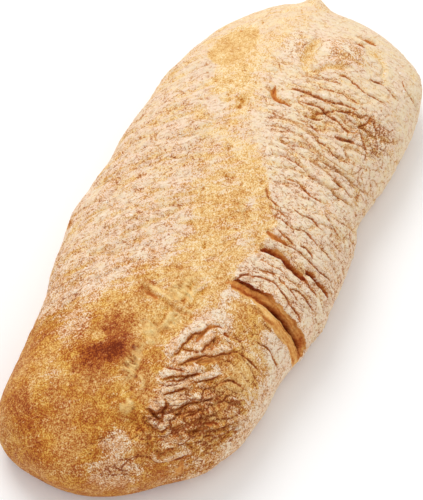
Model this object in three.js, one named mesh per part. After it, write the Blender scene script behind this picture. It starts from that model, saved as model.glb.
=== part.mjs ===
// A ciabatta loaf in millimetres, one solid piece of bread resting on its flat base.
// +X runs along the loaf to its pale far end, +Y to its smoother flank, -Y to its
// wrinkled flank and +Z up. The origin is the middle of the base.

import * as THREE from 'three';
import { mergeVertices } from 'three/addons/utils/BufferGeometryUtils.js';

// Driving dimensions of the loaf.
const LENGTH = 255;
const CROWN = 56;             // height of the top above the base
const RIM = 17;               // height at which the loaf is widest
const SMOOTH_SIDE = 54.7;     // half width on the +Y flank
const WRINKLED_SIDE = 53.1;   // half width on the -Y flank
const SECTION_POWER = 2.35;   // 2 is an elliptic section, more is squarer
const TUCK = 0.13;            // share of the width lost from the rim down to the base
const HALF = LENGTH / 2;

// How blunt each end is in plan, on each flank, and how far its tip leans towards +Y.
const NEAR_END = { smooth: 2.93, wrinkled: 2.46, lean: 9.5 };
const FAR_END = { smooth: 2.75, wrinkled: 3.24, lean: -2.7 };
const LEAN_POWER = 4;

// Long swells of each flank: where along the loaf, how far they reach, how far out.
const SMOOTH_SWELLS = [
  { at: 25, reach: 55, out: 5.2 },
  { at: -85, reach: 38, out: -7.3 },
  { at: 95, reach: 25, out: 7.2 },
  { at: -60, reach: 10, out: -1.6 },
  { at: -18, reach: 8, out: 1.9 },
  { at: 12, reach: 11, out: -2 },
  { at: 60, reach: 10, out: 1.6 },
  { at: 87, reach: 8, out: -1.4 },
];
const WRINKLED_SWELLS = [
  { at: -25, reach: 60, out: 5.5 },
  { at: 48, reach: 16, out: -4.4 },
  { at: 110, reach: 25, out: 5.8 },
  { at: -95, reach: 20, out: 9.5 },
  { at: -60, reach: 14, out: 3.5 },
  { at: -104, reach: 9, out: -4 },
  { at: -74, reach: 9, out: 3.2 },
  { at: -38, reach: 13, out: -1.2 },
  { at: -8, reach: 7, out: 1.6 },
];

// Cells of the surface lattice. Its lines crowd together where the deep creases run.
const CELLS = { along: 92, across: 32, rows: 11 };
const ROWS_BELOW_RIM = 3;
const CROWDING = [
  { at: -0.16, reach: 0.07, extra: 1.6 },
  { at: 0.3, reach: 0.16, extra: 0.4 },
];
const CROWDING_STEPS = 400;

// Mounds and hollows of the crust: the middle in plan, the reach along and across,
// the turn in degrees, and the height, negative for a hollow.
const MOUNDS = [
  { at: [97, -12], reach: [8, 11], turn: 10, height: 4.4 },     // air bubble at the far end
  { at: [91, 9], reach: [8, 7], turn: 0, height: 1.2 },
  { at: [119, 13], reach: [5, 5.5], turn: 0, height: 5 },       // nub of dough on the far rim
  { at: [113, -42], reach: [9, 9], turn: 0, height: 2 },
  { at: [79, 35], reach: [17, 8], turn: -15, height: -0.9 },    // smooth tear
  { at: [66, 38], reach: [9, 4], turn: -20, height: 1.4 },      // curl of skin beside the tear
  { at: [42, -51], reach: [6, 7], turn: 0, height: -2.4 },      // dent in the flank
  { at: [-16, -44], reach: [6, 16], turn: 0, height: 1.6 },     // roll between the two folds
  { at: [-38, -38], reach: [8, 18], turn: 0, height: 1.8 },     // roll before the deep fold
  { at: [16, -34], reach: [12, 20], turn: 0, height: 0.9 },
  { at: [-76, 4], reach: [16, 12], turn: 0, height: 1.2 },      // scorched top of the near end
  { at: [-104, 30], reach: [14, 12], turn: 0, height: 1.6 },
  { at: [-47, 2], reach: [5, 4], turn: 20, height: -1.6 },      // torn pocket in the top
  { at: [-99, -18], reach: [4, 6], turn: 0, height: -1.5 },
  { at: [-126, 2], reach: [9, 12], turn: 0, height: 4.2 },      // blunt tip of the near end
  { at: [-124, 27], reach: [8, 8], turn: 0, height: -2 },
  { at: [-60, -30], reach: [13, 9], turn: 30, height: 1.3 },    // straps of skin
  { at: [-80, -32], reach: [12, 12], turn: 0, height: -1.0 },
  { at: [70, -40], reach: [9, 12], turn: 0, height: -1.2 },
];

// Creases of the crust: the run in plan, the half width, the depth, the height of the
// rolled lips, and the share of the half width on the near side, where 1 is even.
const CREASES = [
  // The deep fold and the crack above it.
  { run: [[-29, -26], [-26, -37], [-25.5, -47], [-27, -59]], width: 3.4, depth: 7, lip: 1.6, near: 0.6 },
  { run: [[-22, -26], [-19.5, -35], [-19, -41]], width: 1.9, depth: 1.8, lip: 0.4, near: 1 },
  // The second and third folds.
  { run: [[-6.5, -28], [-4.7, -38], [-5, -48]], width: 1.9, depth: 3.2, lip: 0.9, near: 0.8 },
  { run: [[-2.1, -46], [-2, -52], [-2, -57]], width: 1.9, depth: 2.2, lip: 0.6, near: 1 },
  { run: [[1.5, -25], [1.6, -36], [1.8, -45], [3, -54]], width: 1.9, depth: 1.8, lip: 0.5, near: 1 },
  // The long cracks of the wrinkled flank.
  { run: [[9, -23], [9.5, -33], [10.5, -42], [11, -52]], width: 1.9, depth: 1.4, lip: 0.5, near: 1 },
  { run: [[32.5, -9], [36.5, -19], [35, -32], [36, -47]], width: 2.1, depth: 2.2, lip: 0.6, near: 1 },
  { run: [[42, -10], [45.5, -24], [45, -36], [45.5, -48]], width: 2, depth: 1.8, lip: 0.5, near: 1 },
  // The hooked groove and the cracks that fan out from it.
  { run: [[67, 6], [61.5, 3.5], [59.3, -1], [59.5, -7]], width: 2.1, depth: 2.4, lip: 0.7, near: 1 },
  { run: [[66, 1], [69.5, -10], [72, -20], [77, -31]], width: 1.9, depth: 1.7, lip: 0.5, near: 1 },
  { run: [[63, -6], [66, -17], [65.5, -27], [67, -35]], width: 1.9, depth: 1.7, lip: 0.5, near: 1 },
  { run: [[58.5, -27], [59.5, -32], [62.5, -37]], width: 2, depth: 2, lip: 0.5, near: 1 },
  // The groove beside the air bubble and the slits at the far rim.
  { run: [[99, 1], [90, -1], [81, 0]], width: 2.4, depth: 1.9, lip: 0.5, near: 1 },
  { run: [[111, -11], [113, -16], [112, -21]], width: 2.1, depth: 2.2, lip: 0.6, near: 1 },
  { run: [[106, -17], [104, -26], [100, -31]], width: 2, depth: 1.6, lip: 0.5, near: 1 },
  // The folds between the straps of skin at the near end.
  { run: [[-57, -24.5], [-50, -26], [-46.5, -31]], width: 2.1, depth: 2, lip: 0.7, near: 1 },
  { run: [[-63, -21], [-60.5, -28], [-55, -34]], width: 2, depth: 1.8, lip: 0.7, near: 1 },
  { run: [[-72, -20], [-69, -28], [-62, -34]], width: 2, depth: 1.8, lip: 0.7, near: 1 },
  { run: [[-78, -22], [-74, -28], [-69, -32]], width: 1.9, depth: 1.6, lip: 0.6, near: 1 },
  { run: [[-91, -21], [-91, -27], [-85, -28]], width: 2, depth: 1.8, lip: 0.6, near: 1 },
  { run: [[-85, -37], [-82, -42], [-80, -48]], width: 2.3, depth: 2, lip: 0.6, near: 1 },
  { run: [[-91, -36], [-89.5, -42], [-88, -46]], width: 2.2, depth: 1.6, lip: 0.5, near: 1 },
];
const CREASE_STEPS = 24;
const LIP_PLACE = 2.1;        // middle of a lip, in half widths from the crease
const LIP_REACH = 1.1;        // reach of a lip, in half widths
const CREASE_REACH = 5;       // half widths past which a crease is not felt

// Small wrinkles that run down the wrinkled flank, one draw of chance for each.
const WRINKLES = {
  seed: 11,
  count: 44,
  from: -20,
  to: 108,
  top: [-17, -38],
  length: [11, 24],
  wander: 2.2,
  width: [1.7, 2.3],
  depth: [0.8, 1.5],
  lip: 0.4,
};

// Slow unevenness of the whole crust: low mounds and hollows in places drawn by chance.
const LUMPS = { seed: 5, count: 70, reach: [7, 17], height: [-1, 1] };

// Crust colour of the faceted solid.
const CRUST = { color: 0xdcb583, roughness: 0.85, metalness: 0 };

function bump(distance, reach) {
  return Math.exp(-((distance / reach) ** 2));
}

// Repeatable draws of chance, from 0 to 1 or between two values.
function chance(seed) {
  let state = seed;
  const random = () => {
    state = (state * 16807) % 2147483647;
    return state / 2147483647;
  };
  const between = ([low, high]) => low + (high - low) * random();
  return { random, between };
}

// Remaining half width, as a share, at a share of the way from the middle to an end.
function superEllipse(share, power) {
  return Math.max(0, 1 - share ** power) ** (1 / power);
}

function endAt(x) {
  return x < 0 ? NEAR_END : FAR_END;
}

function meanBluntness(x) {
  const end = endAt(x);
  return (end.smooth + end.wrinkled) / 2;
}

function midline(x) {
  return endAt(x).lean * Math.abs(x / HALF) ** LEAN_POWER;
}

// Distance in plan from the midline to the rim, on the flank that side points to.
function reachAcross(x, side) {
  const smooth = side > 0;
  const end = endAt(x);
  const bluntness = smooth ? end.smooth : end.wrinkled;
  let width = smooth ? SMOOTH_SIDE : WRINKLED_SIDE;
  for (const swell of smooth ? SMOOTH_SWELLS : WRINKLED_SWELLS) {
    width += swell.out * bump(x - swell.at, swell.reach);
  }
  return width * superEllipse(Math.abs(x / HALF), bluntness);
}

function crownAt(x) {
  return (CROWN - RIM) * superEllipse(Math.abs(x / HALF), meanBluntness(x));
}

// Height of the crust above a point in plan; outside the rim it is the rim's height.
function crustHeight(x, y) {
  const side = y - midline(x);
  const share = Math.abs(side) / Math.max(reachAcross(x, side), 1e-6);
  return RIM + crownAt(x) * superEllipse(Math.min(share, 1), SECTION_POWER);
}

// Place on the plain loaf of a point on the surface of a cube of side 2.
function crustPoint(a, b, c) {
  const up = Math.max(c, 0);
  const ballX = a * Math.sqrt(1 - b ** 2 / 2 - up ** 2 / 2 + (b * up) ** 2 / 3);
  const ballY = b * Math.sqrt(1 - a ** 2 / 2 - up ** 2 / 2 + (a * up) ** 2 / 3);
  const ballZ = up * Math.sqrt(1 - a ** 2 / 2 - b ** 2 / 2 + (a * b) ** 2 / 3);
  const x = HALF * Math.sign(ballX) * Math.abs(ballX) ** (2 / meanBluntness(ballX));
  const around = Math.max(Math.hypot(ballY, ballZ), 1e-6);
  const across = Math.sign(ballY) * Math.abs(ballY / around) ** (2 / SECTION_POWER);
  const rise = (ballZ / around) ** (2 / SECTION_POWER);
  const y = reachAcross(x, ballY) * across;
  if (c >= 0) {
    return new THREE.Vector3(x, midline(x) + y, RIM + crownAt(x) * rise);
  }
  const turn = (-c * Math.PI) / 2;
  const drawn = TUCK * (1 - Math.cos(turn));
  return new THREE.Vector3(x * (1 - drawn / 2), midline(x) + y * (1 - drawn), RIM * (1 - Math.sin(turn)));
}

// Lattice line positions along the loaf, closer together where CROWDING says.
function crowdedLines() {
  const sums = [0];
  for (let step = 0; step < CROWDING_STEPS; step += 1) {
    const a = -1 + (2 * (step + 0.5)) / CROWDING_STEPS;
    let density = 1;
    for (const crowd of CROWDING) {
      density += crowd.extra * bump(a - crowd.at, crowd.reach);
    }
    sums.push(sums[step] + density);
  }
  const total = sums[CROWDING_STEPS];
  return (even) => {
    const wanted = ((even + 1) / 2) * total;
    const step = Math.min(sums.findIndex((sum) => sum >= wanted - 1e-9), CROWDING_STEPS);
    if (step <= 0) return -1;
    const part = (wanted - sums[step - 1]) / (sums[step] - sums[step - 1]);
    return -1 + (2 * (step - 1 + part)) / CROWDING_STEPS;
  };
}

// Rows of the lattice, with ROWS_BELOW_RIM of them under the rim.
function rowHeight(even) {
  const rim = -1 + (2 * ROWS_BELOW_RIM) / CELLS.rows;
  return even < rim ? (even - rim) / (rim + 1) : (even - rim) / (1 - rim);
}

function onCrust([x, y]) {
  return new THREE.Vector3(x, y, crustHeight(x, y));
}

// A crease with its run laid on the crust as closely spaced points.
function layCrease(crease) {
  const curve = new THREE.CatmullRomCurve3(crease.run.map(onCrust));
  const points = curve.getPoints(CREASE_STEPS).map((point) => onCrust([point.x, point.y]));
  return { ...crease, points, box: new THREE.Box3().setFromPoints(points) };
}

function lumpMounds() {
  const { random, between } = chance(LUMPS.seed);
  const mounds = [];
  for (let index = 0; index < LUMPS.count; index += 1) {
    const x = HALF * (2 * random() - 1);
    const y = midline(x) + reachAcross(x, 1) * (2 * random() - 1);
    const reach = [between(LUMPS.reach), between(LUMPS.reach)];
    mounds.push({ at: [x, y], reach, turn: 180 * random(), height: between(LUMPS.height) });
  }
  return mounds;
}

function wrinkleRuns() {
  const { random, between } = chance(WRINKLES.seed);
  const runs = [];
  for (let index = 0; index < WRINKLES.count; index += 1) {
    const x = WRINKLES.from + ((WRINKLES.to - WRINKLES.from) * (index + random())) / WRINKLES.count;
    const y = between(WRINKLES.top);
    const length = between(WRINKLES.length);
    const drift = () => WRINKLES.wander * (2 * random() - 1);
    const run = [[x, y], [x + drift(), y - length / 2], [x + drift(), y - length]];
    runs.push({ run, width: between(WRINKLES.width), depth: between(WRINKLES.depth), lip: WRINKLES.lip, near: 1 });
  }
  return runs;
}

// Depth of a crease at a point of the plain crust, negative below it, with its lips.
function creaseRelief(crease, point) {
  if (crease.box.distanceToPoint(point) > CREASE_REACH * crease.width) return 0;
  let nearest = 0;
  let distance = Infinity;
  crease.points.forEach((place, index) => {
    const gap = place.distanceTo(point);
    if (gap < distance) {
      distance = gap;
      nearest = index;
    }
  });
  const share = nearest / CREASE_STEPS;
  const taper = Math.sqrt(Math.max(0, 1 - (2 * share - 1) ** 4));
  const nearSide = point.x < crease.points[nearest].x;
  const width = crease.width * (nearSide ? crease.near : 2 - crease.near);
  const groove = -crease.depth * bump(distance, width);
  const lip = crease.lip * bump(distance - LIP_PLACE * width, LIP_REACH * width);
  return (groove + lip) * taper;
}

function layMound(mound) {
  return { ...mound, middle: onCrust(mound.at), turn: THREE.MathUtils.degToRad(mound.turn) };
}

// Height of a mound at a point of the plain crust, fading with the depth below it too.
function moundRelief(mound, point) {
  const gap = point.clone().sub(mound.middle);
  const [reachAlong, reachAside] = mound.reach;
  const along = gap.x * Math.cos(mound.turn) + gap.y * Math.sin(mound.turn);
  const aside = gap.y * Math.cos(mound.turn) - gap.x * Math.sin(mound.turn);
  const down = gap.z / Math.max(reachAlong, reachAside);
  return mound.height * bump(Math.hypot(along / reachAlong, aside / reachAside, down), 1);
}

// The lattice of a box with its lower face left open, each corner shared.
function openLattice() {
  const box = new THREE.BoxGeometry(2, 2, 2, CELLS.along, CELLS.across, CELLS.rows);
  box.deleteAttribute('normal');
  box.deleteAttribute('uv');
  const lattice = mergeVertices(box);
  const position = lattice.getAttribute('position');
  const kept = [];
  for (let start = 0; start < lattice.index.count; start += 3) {
    const corners = [0, 1, 2].map((step) => lattice.index.getX(start + step));
    if (corners.some((corner) => position.getZ(corner) > -1)) kept.push(...corners);
  }
  lattice.setIndex(kept);
  return mergeVertices(lattice.toNonIndexed());
}

// Fan of triangles that closes the base, from its middle to every point of its edge.
function closeBase(position, index) {
  const edge = [];
  const middle = position.length / 3;
  for (let point = 0; point < middle; point += 1) {
    if (position[3 * point + 2] === 0) edge.push(point);
  }
  const angle = (point) => Math.atan2(position[3 * point + 1], position[3 * point]);
  edge.sort((one, other) => angle(one) - angle(other));
  position.push(0, 0, 0);
  edge.forEach((point, place) => {
    index.push(middle, edge[(place + 1) % edge.length], point);
  });
}

function loafGeometry() {
  const lattice = openLattice();
  const corners = lattice.getAttribute('position');
  const lineAt = crowdedLines();
  for (let point = 0; point < corners.count; point += 1) {
    const place = crustPoint(
      lineAt(corners.getX(point)),
      corners.getY(point),
      rowHeight(corners.getZ(point)),
    );
    corners.setXYZ(point, place.x, place.y, place.z);
  }
  lattice.computeVertexNormals();
  const normals = lattice.getAttribute('normal');
  const creases = [...CREASES, ...wrinkleRuns()].map(layCrease);
  const mounds = [...MOUNDS, ...lumpMounds()].map(layMound);
  const position = [];
  for (let point = 0; point < corners.count; point += 1) {
    const place = new THREE.Vector3().fromBufferAttribute(corners, point);
    const normal = new THREE.Vector3().fromBufferAttribute(normals, point);
    let height = 0;
    for (const mound of mounds) height += moundRelief(mound, place);
    for (const crease of creases) height += creaseRelief(crease, place);
    const onBase = place.z < 1e-6;
    const rising = Math.min(1, place.z / RIM);
    place.addScaledVector(normal, height * rising);
    position.push(place.x, place.y, onBase ? 0 : Math.max(place.z, 0.2));
  }
  const index = Array.from(lattice.index.array);
  closeBase(position, index);
  const geometry = new THREE.BufferGeometry();
  geometry.setAttribute('position', new THREE.Float32BufferAttribute(position, 3));
  geometry.setIndex(index);
  geometry.computeBoundingBox();
  const middle = geometry.boundingBox.getCenter(new THREE.Vector3());
  geometry.translate(-middle.x, -middle.y, 0);
  geometry.computeVertexNormals();
  return geometry;
}

const loaf = new THREE.Mesh(loafGeometry(), new THREE.MeshStandardMaterial(CRUST));
loaf.name = 'loaf';

const bread = new THREE.Group();
bread.add(loaf);

export default bread;
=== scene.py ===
"""Looks of a floured ciabatta loaf: its crust with every fold, tear and crack, and the flour on it."""

import itertools
import logging
import math
from collections.abc import Iterator
from dataclasses import dataclass, field
from enum import Enum

import bpy
import numpy as np
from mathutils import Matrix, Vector


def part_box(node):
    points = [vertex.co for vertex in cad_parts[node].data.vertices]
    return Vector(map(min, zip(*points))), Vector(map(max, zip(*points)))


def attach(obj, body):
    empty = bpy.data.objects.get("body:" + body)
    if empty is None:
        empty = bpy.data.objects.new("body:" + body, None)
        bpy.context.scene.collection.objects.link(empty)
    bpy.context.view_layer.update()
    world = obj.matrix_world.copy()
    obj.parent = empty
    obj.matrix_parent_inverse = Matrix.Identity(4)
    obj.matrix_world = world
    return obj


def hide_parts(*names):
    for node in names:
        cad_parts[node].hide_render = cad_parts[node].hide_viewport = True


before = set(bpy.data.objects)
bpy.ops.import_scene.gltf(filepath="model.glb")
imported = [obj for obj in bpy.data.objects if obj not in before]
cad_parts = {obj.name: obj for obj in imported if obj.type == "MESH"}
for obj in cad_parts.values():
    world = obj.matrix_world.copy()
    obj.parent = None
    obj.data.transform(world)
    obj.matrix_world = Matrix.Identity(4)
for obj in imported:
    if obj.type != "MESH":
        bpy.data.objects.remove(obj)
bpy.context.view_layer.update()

MM = 0.001
TINY = 1e-6

Array = np.ndarray
Plan = tuple[float, float]
Socket = bpy.types.NodeSocket
log = logging.getLogger("ciabatta")


class Tone(Enum):
    """Fields that the crust mesh carries for its materials and for the flour."""

    BAKE = "bake"
    FLOUR = "flour"
    BARE = "bare"
    FOLD = "fold"
    CRACK = "crack"
    CRACKLE = "crackle"
    TORN = "torn"
    WRINKLED = "wrinkled"
    GRAINS = "grains"
    CLUMPS = "clumps"


# ---------------- soft shapes and noise


def bump(distance: Array, reach: float | Array) -> Array:
    """Height at a distance of a smooth hump, 1 in its middle and about a third at its reach."""
    return np.exp(-((distance / reach) ** 2))


def ease(value: Array, low: float, high: float) -> Array:
    """A smooth step from 0, where value is at low, to 1, where it is at high."""
    share = np.clip((value - low) / (high - low), 0, 1)
    return share * share * (3 - 2 * share)


def super_ellipse(share: Array, power: float | Array) -> Array:
    """Half width left, as a share, at a share of the way from the middle to an end."""
    return np.maximum(0, 1 - share**power) ** (1 / power)


def tapered(share: Array, power: int) -> Array:
    """Strength left at a share of a line's length, which fades only towards its two ends."""
    return np.sqrt(np.maximum(0, 1 - (2 * share - 1) ** power))


def turned(x: Array, y: Array, degrees: float) -> tuple:
    """Places along a direction so many degrees from the first axis, and places to its left."""
    angle = math.radians(degrees)
    return x * math.cos(angle) + y * math.sin(angle), y * math.cos(angle) - x * math.sin(angle)


def spread(kind: type, *rows: tuple) -> tuple:
    """Mounds or patches from rows of x, y, the two reaches, and what else the kind takes."""
    return tuple(kind(row[:2], row[2:4], *row[4:]) for row in rows)


@dataclass(frozen=True)
class Grain:
    """Gradient noise drawn from a seed."""

    seed: int
    gain: float = 1.6
    warp_seed: int = 50

    def __call__(self, places: Array) -> Array:
        """Noise at places.

        Args:
            places: Points in cells of the noise, one row each.

        Returns:
            Values from about -1 to 1.
        """
        draw = np.random.default_rng(self.seed)
        table = draw.permutation(256)
        slopes = draw.normal(size=(256, 3))
        slopes /= np.linalg.norm(slopes, axis=1)[:, None]
        cell = np.floor(places).astype(np.int64)
        within = places - cell
        weight = within**3 * (within * (within * 6 - 15) + 10)
        total = np.zeros(len(places))
        for corner in itertools.product((0, 1), repeat=3):
            at = cell + corner
            index = table[at[:, 0] & 255]
            index = table[(index + at[:, 1]) & 255]
            index = table[(index + at[:, 2]) & 255]
            rise = ((within - corner) * slopes[index]).sum(axis=1)
            total += rise * np.prod(np.where(corner, weight, 1 - weight), axis=1)
        return self.gain * total

    def layered(self, places: Array, layers: int, keep: float = 0.5) -> Array:
        """Noise with layers on it, each half as wide as the last and keep times as strong."""
        parts = (keep**layer * Grain(self.seed + layer)(places * 2**layer) for layer in range(layers))
        return sum(parts) / sum(keep**layer for layer in range(layers))

    def warped(self, places: Array, amount: float) -> Array:
        """Places pushed about by noise of twice the cell, so that straight patterns wander."""
        pushes = [Grain(self.seed + self.warp_seed + axis)(places / 2) for axis in range(2)]
        return places + amount * np.column_stack([*pushes, np.zeros(len(places))])


@dataclass(frozen=True)
class Cells:
    """Pattern of cells with a random middle in each, drawn from a seed."""

    seed: int

    def from_edge(self, places: Array, sizes: Array) -> Array:
        """Distance to the nearest edge between two cells.

        Args:
            places: Points in units of a cell, one row each.
            sizes: Size of a cell in mm, one value for each direction.

        Returns:
            About the distance of each point in mm, largest in the middle of a cell.
        """
        draw = np.random.default_rng(self.seed)
        table = draw.permutation(1024)
        offsets = draw.random((1024, 3))
        home = np.floor(places).astype(np.int64)
        gaps = np.full((2, len(places)), np.inf)
        ways = np.zeros((2, len(places), 3))
        for step in itertools.product((-1, 0, 1), repeat=3):
            at = home + step
            index = table[at[:, 0] & 1023]
            index = table[(index + at[:, 1]) & 1023]
            index = table[(index + at[:, 2]) & 1023]
            way = at + offsets[index] - places
            gap = np.linalg.norm(way, axis=1)
            first, second = gap < gaps[0], gap < gaps[1]
            gaps[1] = np.where(first, gaps[0], np.where(second, gap, gaps[1]))
            ways[1] = np.where(first[:, None], ways[0], np.where(second[:, None], way, ways[1]))
            gaps[0] = np.where(first, gap, gaps[0])
            ways[0] = np.where(first[:, None], way, ways[0])
        slope = ways[0] / (gaps[0][:, None] + TINY) - ways[1] / (gaps[1][:, None] + TINY)
        return (gaps[1] - gaps[0]) / np.maximum(np.linalg.norm(slope / sizes, axis=1), TINY)


# ---------------- plain form of the loaf


@dataclass(frozen=True)
class LoafEnd:
    """How blunt one end is in plan on each flank, and how far its tip leans towards +Y."""

    smooth: float
    wrinkled: float
    lean: float

    @property
    def mean(self) -> float:
        """Bluntness along the middle of the end."""
        return (self.smooth + self.wrinkled) / 2


@dataclass(frozen=True)
class LoafForm:
    """The plain loaf before any relief, in millimetres, with the sizes of the solid."""

    length: float = 255.0
    crown: float = 56.0
    rim: float = 17.0
    smooth_side: float = 54.7
    wrinkled_side: float = 53.1
    section_power: float = 2.35
    tuck: float = 0.13
    lean_power: float = 4.0
    near_end: LoafEnd = LoafEnd(2.93, 2.46, 9.5)
    far_end: LoafEnd = LoafEnd(2.75, 3.24, -2.7)
    smooth_swells: tuple = (
        (25, 55, 5.2), (-85, 38, -7.3), (95, 25, 7.2), (-60, 10, -1.6),
        (-18, 8, 1.9), (12, 11, -2.0), (60, 10, 1.6), (87, 8, -1.4),
    )
    wrinkled_swells: tuple = (
        (-25, 60, 5.5), (48, 16, -4.4), (110, 25, 5.8), (-95, 20, 9.5), (-60, 14, 3.5),
        (-104, 9, -4.0), (-74, 9, 3.2), (-38, 13, -1.2), (-8, 7, 1.6),
    )

    @property
    def half(self) -> float:
        """Half the length."""
        return self.length / 2

    def bluntness(self, x: Array) -> Array:
        """Bluntness in the middle of the end that x is nearer to."""
        return np.where(x < 0, self.near_end.mean, self.far_end.mean)

    def midline(self, x: Array) -> Array:
        """Y of the line down the middle of the loaf."""
        lean = np.where(x < 0, self.near_end.lean, self.far_end.lean)
        return lean * np.abs(x / self.half) ** self.lean_power

    def outward(self, x: Array, side: Array) -> Array:
        """Distance in plan from the midline to the rim.

        Args:
            x: Places along the loaf.
            side: Positive for the smooth flank and negative for the wrinkled one.

        Returns:
            The half width at each place.
        """
        smooth = side > 0
        near = np.where(smooth, self.near_end.smooth, self.near_end.wrinkled)
        far = np.where(smooth, self.far_end.smooth, self.far_end.wrinkled)
        widths = [
            width + sum(out * bump(x - at, reach) for at, reach, out in swells)
            for width, swells in (
                (self.smooth_side, self.smooth_swells),
                (self.wrinkled_side, self.wrinkled_swells),
            )
        ]
        power = np.where(x < 0, near, far)
        return np.where(smooth, *widths) * super_ellipse(np.abs(x / self.half), power)

    def crown_rise(self, x: Array) -> Array:
        """Height of the top above the rim."""
        return (self.crown - self.rim) * super_ellipse(np.abs(x / self.half), self.bluntness(x))

    def height(self, x: Array, y: Array) -> Array:
        """Height of the plain crust above points in plan."""
        side = y - self.midline(x)
        share = np.minimum(np.abs(side) / np.maximum(self.outward(x, side), TINY), 1)
        return self.rim + self.crown_rise(x) * super_ellipse(share, self.section_power)

    def on_crust(self, plan: Array) -> Array:
        """Points in plan dropped onto the plain crust."""
        return np.column_stack([plan, self.height(plan[:, 0], plan[:, 1])])

    def place(self, a: Array, b: Array, c: Array) -> Array:
        """Maps the surface of a cube of side 2 onto the plain loaf.

        Args:
            a: Place along the cube, from -1 to 1.
            b: Place across the cube, from -1 to 1.
            c: Place up the cube, from -1 to 1, with the rim at 0.

        Returns:
            Points of the plain loaf, one row each.
        """
        up = np.maximum(c, 0)
        ball_x = a * np.sqrt(1 - b**2 / 2 - up**2 / 2 + (b * up) ** 2 / 3)
        ball_y = b * np.sqrt(1 - a**2 / 2 - up**2 / 2 + (a * up) ** 2 / 3)
        ball_z = up * np.sqrt(np.maximum(0, 1 - a**2 / 2 - b**2 / 2 + (a * b) ** 2 / 3))
        x = self.half * np.sign(ball_x) * np.abs(ball_x) ** (2 / self.bluntness(ball_x))
        around = np.maximum(np.hypot(ball_y, ball_z), TINY)
        across = np.sign(ball_y) * np.abs(ball_y / around) ** (2 / self.section_power)
        rise = (ball_z / around) ** (2 / self.section_power)
        y = self.outward(x, ball_y) * across
        turn = np.maximum(-c, 0) * math.pi / 2
        drawn = self.tuck * (1 - np.cos(turn))
        z = np.where(c < 0, self.rim * (1 - np.sin(turn)), self.rim + self.crown_rise(x) * rise)
        return np.column_stack([x * (1 - drawn / 2), self.midline(x) + y * (1 - drawn), z])


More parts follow.
